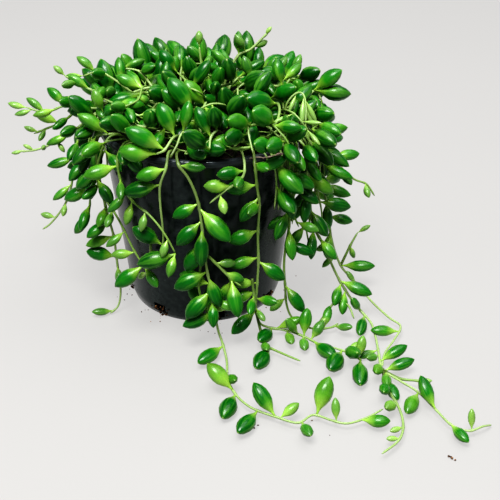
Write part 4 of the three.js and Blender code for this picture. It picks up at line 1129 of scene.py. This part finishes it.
def pot_piece(material):
    """A shell of turned outlines: point = (r cos t, r sin t, z). The drain slots are left out of the grid
    and walled in between its outer and inner faces."""
    outline = np.array(POT_OUTLINE_OUT + POT_OUTLINE_IN)
    slot_half = math.degrees(math.asin(DRAIN_WIDTH / 2 / WALL_FOOT_RADIUS))
    centres = DRAIN_FIRST_ANGLE + np.arange(DRAIN_COUNT) * 360 / DRAIN_COUNT
    within = np.linspace(-slot_half, slot_half, 7)
    between = np.linspace(slot_half, 360 / DRAIN_COUNT - slot_half, 13)[1:-1]
    angles = np.radians((centres[:, None] + np.concatenate([within, between])[None]).ravel())
    across, sides = len(within) + len(between), len(angles)
    r, z = outline[:, 0][:, None], outline[:, 1][:, None]
    points = np.stack([r * np.cos(angles), r * np.sin(angles), z + 0 * angles], axis=2).reshape(-1, 3)
    (low_out, high_out), (high_in, low_in) = SLOT_ROWS_OUT, SLOT_ROWS_IN
    slot_columns = (np.arange(sides) % across) < len(within) - 1
    slot_rows = np.zeros(len(outline) - 1, bool)
    slot_rows[low_out:high_out] = True
    slot_rows[high_in:low_in] = True
    quads, ends = ring_faces(len(outline), sides)
    quads = quads[~(slot_rows[:, None] & slot_columns[None]).ravel()]
    first = np.arange(DRAIN_COUNT)[:, None] * across
    step = (first + np.arange(len(within) - 1)).ravel()

    def ledge(row, next_row):
        start, end = row * sides + step, next_row * sides + step
        return np.stack([start, start + 1, end + 1, end], axis=1)

    cheek = np.concatenate([np.arange(low_out, high_out + 1), np.arange(high_in, low_in + 1)])[None] * sides
    faces = [quads, ledge(high_in, high_out), ledge(low_out, low_in), ends, (cheek + first)[:, ::-1],
             cheek + first + len(within) - 1]
    piece = add_object("nursery_pot", points, faces, [material])
    piece.data.set_sharp_from_angle(angle=math.radians(POT_SHARP_ANGLE))
    return piece


# ---- soil

SOIL_SIDES = 64


def rough_height(x, y):
    """A lumpy surface: a sum of sine waves of 5 to 17 mm that cross at odd angles."""
    return (0.45 * np.sin(0.37 * x + 1.3) * np.cos(0.41 * y) + 0.3 * np.sin(0.83 * x + 0.61 * y)
            + 0.22 * np.sin(1.21 * y - 0.74 * x + 2.0))


def soil_piece(material):
    """The pot's filling: a plug of a turned outline, z = outline + lumps on its top."""
    outline = [(0.01, 2.3), (36.5, 2.3), (39.2, 5.4), (44.0, 50.0), (48.9, 89.5), (47.5, 90.3)]
    outline += [(radius, SOIL_TOP - 0.5) for radius in (44, 40, 35, 30, 24, 18, 12, 6, 0.01)]
    outline = np.array(outline)
    angles = np.linspace(0, 2 * math.pi, SOIL_SIDES, endpoint=False)
    r, z = outline[:, 0][:, None], outline[:, 1][:, None] + 0 * angles
    x, y = r * np.cos(angles), r * np.sin(angles)
    z = z + np.where(z > SOIL_TOP - 0.6, rough_height(x, y), 0)
    points = np.stack([x, y, z], axis=2).reshape(-1, 3)
    return add_object("potting_soil", points, ring_faces(len(outline), SOIL_SIDES), [material])


# ---- dry roots and crumbs

# old aerial roots over the rim
DRY_ROOTS = [
    [(22, -44, 95), (27, -48.5, 99), (34, -50, 99.4), (40, -45, 99.2), (45, -37, 97)],
    [(30, -43, 96), (35, -47.5, 99.2), (41, -44, 99), (44.5, -41, 95), (42.5, -43.5, 90), (40.5, -45.5, 87)],
    [(34, -40, 96), (38.5, -44.5, 99.3), (43.5, -42.5, 97.5), (44.5, -42, 92), (45.5, -41, 88)],
]


def root_piece(material):
    growth = Growth()
    for i, route in enumerate(DRY_ROOTS):
        stem_into(growth, Curve(route), 0.5, [], 0.42 + 0.08 * (i % 2))
    return growth.finished("dry_roots", [material])


LUMP_PUSH = (0.65, 1.3)
LUMP_STRAY = 0.12
LUMP = np.array([(1, 0, 0), (0, 1, 0), (-1, 0, 0), (0, -1, 0), (0, 0, 1), (0, 0, -1)], float)
LUMP_FACES = np.array([
    (0, 1, 4), (1, 2, 4), (2, 3, 4), (3, 0, 4), (1, 0, 5), (2, 1, 5), (3, 2, 5), (0, 3, 5),
])


def lumps(name, places, sizes, material, body=True):
    """Crumbs: eight-sided lumps, each corner pushed in or out at random by up to a third."""
    chance = np.random.default_rng(5)
    places, sizes = np.asarray(places, float), np.asarray(sizes, float)
    pushed = LUMP[None] * chance.uniform(*LUMP_PUSH, (len(places), len(LUMP), 1))
    points = places[:, None] + (pushed + chance.normal(0, LUMP_STRAY, pushed.shape)) * sizes[:, None, None]
    points[..., 2] = np.maximum(points[..., 2], 0.02)
    faces = repeated([LUMP_FACES], len(places), len(LUMP))
    return add_object(name, points.reshape(-1, 3), faces, [material], body=body)


# at each slot: how far the crumbs stray round the pot, in degrees, the mean and deviation of their height,
# how far they stand off the wall, and their sizes
SLOT_CRUMBS = 26
SLOT_STRAY = 4.2
SLOT_HEIGHT = (3.6, 2.6)
SLOT_DEPTH = (-0.6, 0.8)
SLOT_SIZES = (0.3, 0.85)
# on the sheet: their distance from the pot's middle, how far they stray from a slot, and their sizes
DROPPED_CRUMBS = 46
DROPPED_REACH = (41.5, 52)
DROPPED_STRAY = 9
DROPPED_SIZES = (0.2, 0.5)
# the crumbs that lie out in front, and their sizes
FAR_CRUMBS = [(27.4, -122.7, 0.5), (29.2, -120.7, 0.4), (61, -126.7, 0.3), (53.7, -117, 0.3),
              (111.5, -139.5, 0.6), (112.6, -140.3, 0.5), (113.9, -141.6, 0.4)]
FAR_CRUMB_SIZES = [0.6, 0.5, 0.35, 0.4, 1.1, 0.9, 0.6]


def crumb_pieces(material):
    """Compost that works out of the drain slots, and what has dropped on the sheet under the pot."""
    chance = np.random.default_rng(31)
    slot_step = 360 / DRAIN_COUNT
    places, sizes = [], []
    for slot in range(DRAIN_COUNT):
        for _ in range(SLOT_CRUMBS):
            angle = DRAIN_FIRST_ANGLE + slot * slot_step + chance.normal(0, SLOT_STRAY)
            height = abs(chance.normal(*SLOT_HEIGHT)) + 0.4
            reach = 40.1 + 0.33 * min(height, CHAMFER_HEIGHT) + chance.uniform(*SLOT_DEPTH)
            places.append(polar(reach, angle, height))
            sizes.append(chance.uniform(*SLOT_SIZES))
    inside = lumps("drain_crumbs", places, sizes, material)
    dropped = []
    for _ in range(DROPPED_CRUMBS):
        radius = chance.uniform(*DROPPED_REACH)
        angle = DRAIN_FIRST_ANGLE + chance.integers(DRAIN_COUNT) * slot_step + chance.normal(0, DROPPED_STRAY)
        dropped.append(polar(radius, angle, 0.3))
    sizes = list(chance.uniform(*DROPPED_SIZES, DROPPED_CRUMBS)) + FAR_CRUMB_SIZES
    lumps("floor_crumbs", dropped + FAR_CRUMBS, sizes, material, body=False)
    return inside


# ---- the scene

leaf_finish, stem_finish = leaf_material(), stem_material()
pot_finish, soil_finish = pot_material(), soil_material()
root_finish, crumb_finish = root_material(), crumb_material()

pot = pot_piece(pot_finish)
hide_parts("pot")
soil = soil_piece(soil_finish)
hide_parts("soil")

foliage_finishes = [stem_finish, leaf_finish]
plant = grow_plant()
for owner in plant[1]:
    piece = foliage(f"live_{owner}", owner, plant, foliage_finishes, 0.3)
    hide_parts(owner)

root_piece(root_finish)
crumb_pieces(crumb_finish)

more_growth = fill_plant()
for owner in more_growth[1]:
    foliage(owner, owner, more_growth, foliage_finishes, 0.0)


# ---- floor, light and camera

def floor_piece():
    """A flat sheet, 6 m by 6 m."""
    edge = 3000.0
    points = [(-edge, -edge, 0), (edge, -edge, 0), (edge, edge, 0), (-edge, edge, 0)]
    sheet = add_object("floor_sheet", points, [np.array([[0, 1, 2, 3]])], [floor_material()], body=False)


def add_light(name, place, target, size, power, tint):
    data = bpy.data.lights.new(name, "AREA")
    data.shape = "RECTANGLE"
    data.size, data.size_y = size
    data.energy = power
    data.color = colour(tint)[:3]
    light = bpy.data.objects.new(name, data)
    light.location = Vector(place)
    light.rotation_euler = (Vector(target) - Vector(place)).to_track_quat("-Z", "Y").to_euler()
    bpy.context.scene.collection.objects.link(light)


# how the picture's darkest tones are deepened
TOE = ((0.02, 0.008), (0.045, 0.025), (0.08, 0.06), (0.14, 0.13), (0.22, 0.22))


def light_scene():
    world = bpy.data.worlds.new("soft_studio")
    world.use_nodes = True
    sky = world.node_tree.nodes["Background"]
    sky.inputs["Color"].default_value = colour("#f4f6f8")
    sky.inputs["Strength"].default_value = 0.5
    bpy.context.scene.world = world
    add_light("overhead_soft_box", (0.3, 0.1, 1.1), (0.02, 0, 0.05), (1.1, 0.8), 10.0, "#ffffff")
    add_light("key_box", (-0.12, -0.42, 0.95), (0.0, 0, 0.06), (0.5, 0.4), 22.0, "#ffffff")
    settings = bpy.context.scene.view_settings
    settings.view_transform = "Standard"
    settings.gamma = 0.8
    settings.use_curve_mapping = True
    for dark, darker in TOE:
        settings.curve_mapping.curves[3].points.new(dark, darker)
    settings.curve_mapping.update()


CAMERA_TARGET = Vector((24.8, 0.0, 20.6)) * MM
CAMERA_DISTANCE = 498.0 * MM
CAMERA_ELEVATION = 30.5
CAMERA_ROLL = 0.6
CAMERA_LENS = 64.8


def place_camera():
    data = bpy.data.cameras.new("camera")
    data.lens = CAMERA_LENS
    data.sensor_width = 36.0
    data.clip_start, data.clip_end = 0.01, 50.0
    camera = bpy.data.objects.new("camera", data)
    tilt, roll = math.radians(CAMERA_ELEVATION), math.radians(CAMERA_ROLL)
    forward = Vector((0, math.cos(tilt), -math.sin(tilt)))
    level_right = Vector((1, 0, 0))
    level_up = level_right.cross(forward)
    right = level_right * math.cos(roll) + level_up * math.sin(roll)
    up = level_up * math.cos(roll) - level_right * math.sin(roll)
    turn = Matrix((right, up, -forward)).transposed().to_4x4()
    camera.matrix_world = Matrix.Translation(CAMERA_TARGET - forward * CAMERA_DISTANCE) @ turn
    bpy.context.scene.collection.objects.link(camera)
    bpy.context.scene.camera = camera


floor_piece()
light_scene()
place_camera()

bpy.context.view_layer.update()
